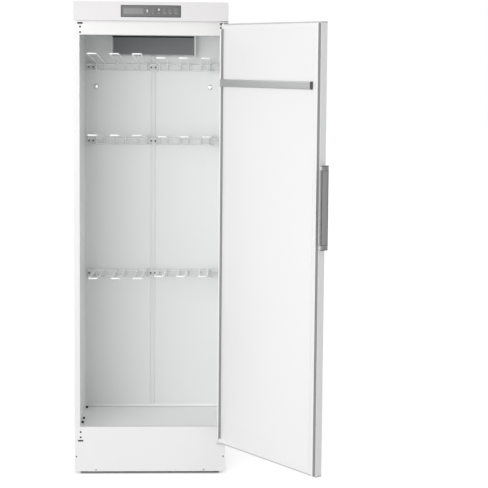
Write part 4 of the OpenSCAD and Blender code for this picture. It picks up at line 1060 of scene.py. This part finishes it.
def add_floor(name, half_size, height, glow_strength):
    """Pale floor that takes the cabinet's soft shadow."""
    bm = bmesh.new()
    bmesh.ops.create_grid(bm, x_segments=1, y_segments=1, size=half_size)
    bmesh.ops.translate(bm, vec=(0, 0, height), verts=bm.verts)
    mesh = bpy.data.meshes.new(name)
    bm.to_mesh(mesh)
    bm.free()
    floor = bpy.data.objects.new(name, mesh)
    bpy.context.scene.collection.objects.link(floor)
    material, shader, _ = start_finish("white studio " + name, linear("#F4F4F4"),
                                       (("Roughness", 0.9),))
    if glow_strength:
        path = add_node(material, "ShaderNodeLightPath")
        seen = add_node(material, "ShaderNodeMath", settings=(("operation", "MULTIPLY"),),
                        values=((1, glow_strength),), links=((0, path.outputs["Is Camera Ray"]),))
        glow = add_node(material, "ShaderNodeEmission", values=(("Color", (1, 1, 1, 1)),),
                        links=(("Strength", seen.outputs["Value"]),))
        both = add_node(material, "ShaderNodeAddShader",
                        links=((0, shader.outputs["BSDF"]), (1, glow.outputs["Emission"])))
        output = material.node_tree.nodes["Material Output"]
        material.node_tree.links.new(both.outputs["Shader"], output.inputs["Surface"])
    mesh.materials.append(material)


def add_light(power):
    """One wide soft light at the left front, as high as the cabinet's top."""
    data = bpy.data.lights.new("key light", "AREA")
    data.shape = "RECTANGLE"
    data.size = LIGHT_WIDTH
    data.size_y = LIGHT_HEIGHT
    data.energy = power
    lamp = bpy.data.objects.new("key light", data)
    place = Vector(LIGHT_PLACE)
    facing = (Vector(LIGHT_AIM) - place).to_track_quat("-Z", "Y").to_matrix().to_4x4()
    lamp.matrix_world = Matrix.Translation(place) @ facing
    bpy.context.scene.collection.objects.link(lamp)


def add_sky(strength):
    """Even light from all round, white where the camera, a gloss or a clear piece looks at it."""
    world = bpy.data.worlds.new("studio")
    bpy.context.scene.world = world
    world.use_nodes = True
    background = world.node_tree.nodes["Background"]
    background.inputs["Color"].default_value = (1, 1, 1, 1)
    path = add_node(world, "ShaderNodeLightPath")
    larger = (("operation", "MAXIMUM"),)
    clear = add_node(world, "ShaderNodeMath", settings=larger,
                     links=((0, path.outputs["Is Glossy Ray"]),
                            (1, path.outputs["Is Transmission Ray"])))
    seen = add_node(world, "ShaderNodeMath", settings=larger,
                    links=((0, path.outputs["Is Camera Ray"]), (1, clear.outputs["Value"])))
    level = add_node(world, "ShaderNodeMapRange", values=(("To Min", strength), ("To Max", 1.0)),
                     links=(("Value", seen.outputs["Value"]),))
    world.node_tree.links.new(level.outputs["Result"], background.inputs["Strength"])


class CABINET_PT_parts(bpy.types.Panel):
    """Lists the cabinet's finishes and the steps that make its pieces."""

    bl_label = "Drying cabinet"
    bl_space_type = "VIEW_3D"
    bl_region_type = "UI"
    bl_category = "Cabinet"

    def draw(self, context):
        column = self.layout.column()
        for group in (context.scene.cabinet_finish, context.scene.cabinet_stage):
            for name in group.bl_rna.properties.keys():
                if name not in ("rna_type", "name"):
                    column.prop(group, name)
        for operator in OPERATORS:
            column.operator(operator.bl_idname)


OPERATORS = (CABINET_OT_enamel_sheet, CABINET_OT_tray, CABINET_OT_fascia, CABINET_OT_outlet,
             CABINET_OT_air_system, CABINET_OT_racks, CABINET_OT_wall_plugs,
             CABINET_OT_door_seals, CABINET_OT_door_trim, CABINET_OT_handle, CABINET_OT_hinges,
             CABINET_OT_rear_screws, CABINET_OT_feet, CABINET_OT_stage)
CLASSES = (CabinetFinish, CabinetStage) + OPERATORS + (CABINET_PT_parts,)


def register():
    """Registers the classes and gives the scene its properties."""
    for cls in CLASSES:
        bpy.utils.register_class(cls)
    bpy.types.Scene.cabinet_finish = bpy.props.PointerProperty(type=CabinetFinish)
    bpy.types.Scene.cabinet_stage = bpy.props.PointerProperty(type=CabinetStage)


def unregister():
    """Takes back what register did."""
    del bpy.types.Scene.cabinet_stage
    del bpy.types.Scene.cabinet_finish
    for cls in reversed(CLASSES):
        bpy.utils.unregister_class(cls)


def main():
    """Makes the cabinet's pieces and stage in order."""
    register()
    bpy.ops.cabinet.enamel_sheet()
    bpy.ops.cabinet.tray()
    bpy.ops.cabinet.fascia()
    bpy.ops.cabinet.outlet()
    bpy.ops.cabinet.air_system()
    bpy.ops.cabinet.racks()
    bpy.ops.cabinet.wall_plugs()
    bpy.ops.cabinet.door_seals()
    bpy.ops.cabinet.door_trim()
    bpy.ops.cabinet.handle()
    bpy.ops.cabinet.hinges()
    bpy.ops.cabinet.rear_screws()
    bpy.ops.cabinet.feet()
    bpy.ops.cabinet.stage()


if __name__ == "__main__":
    main()
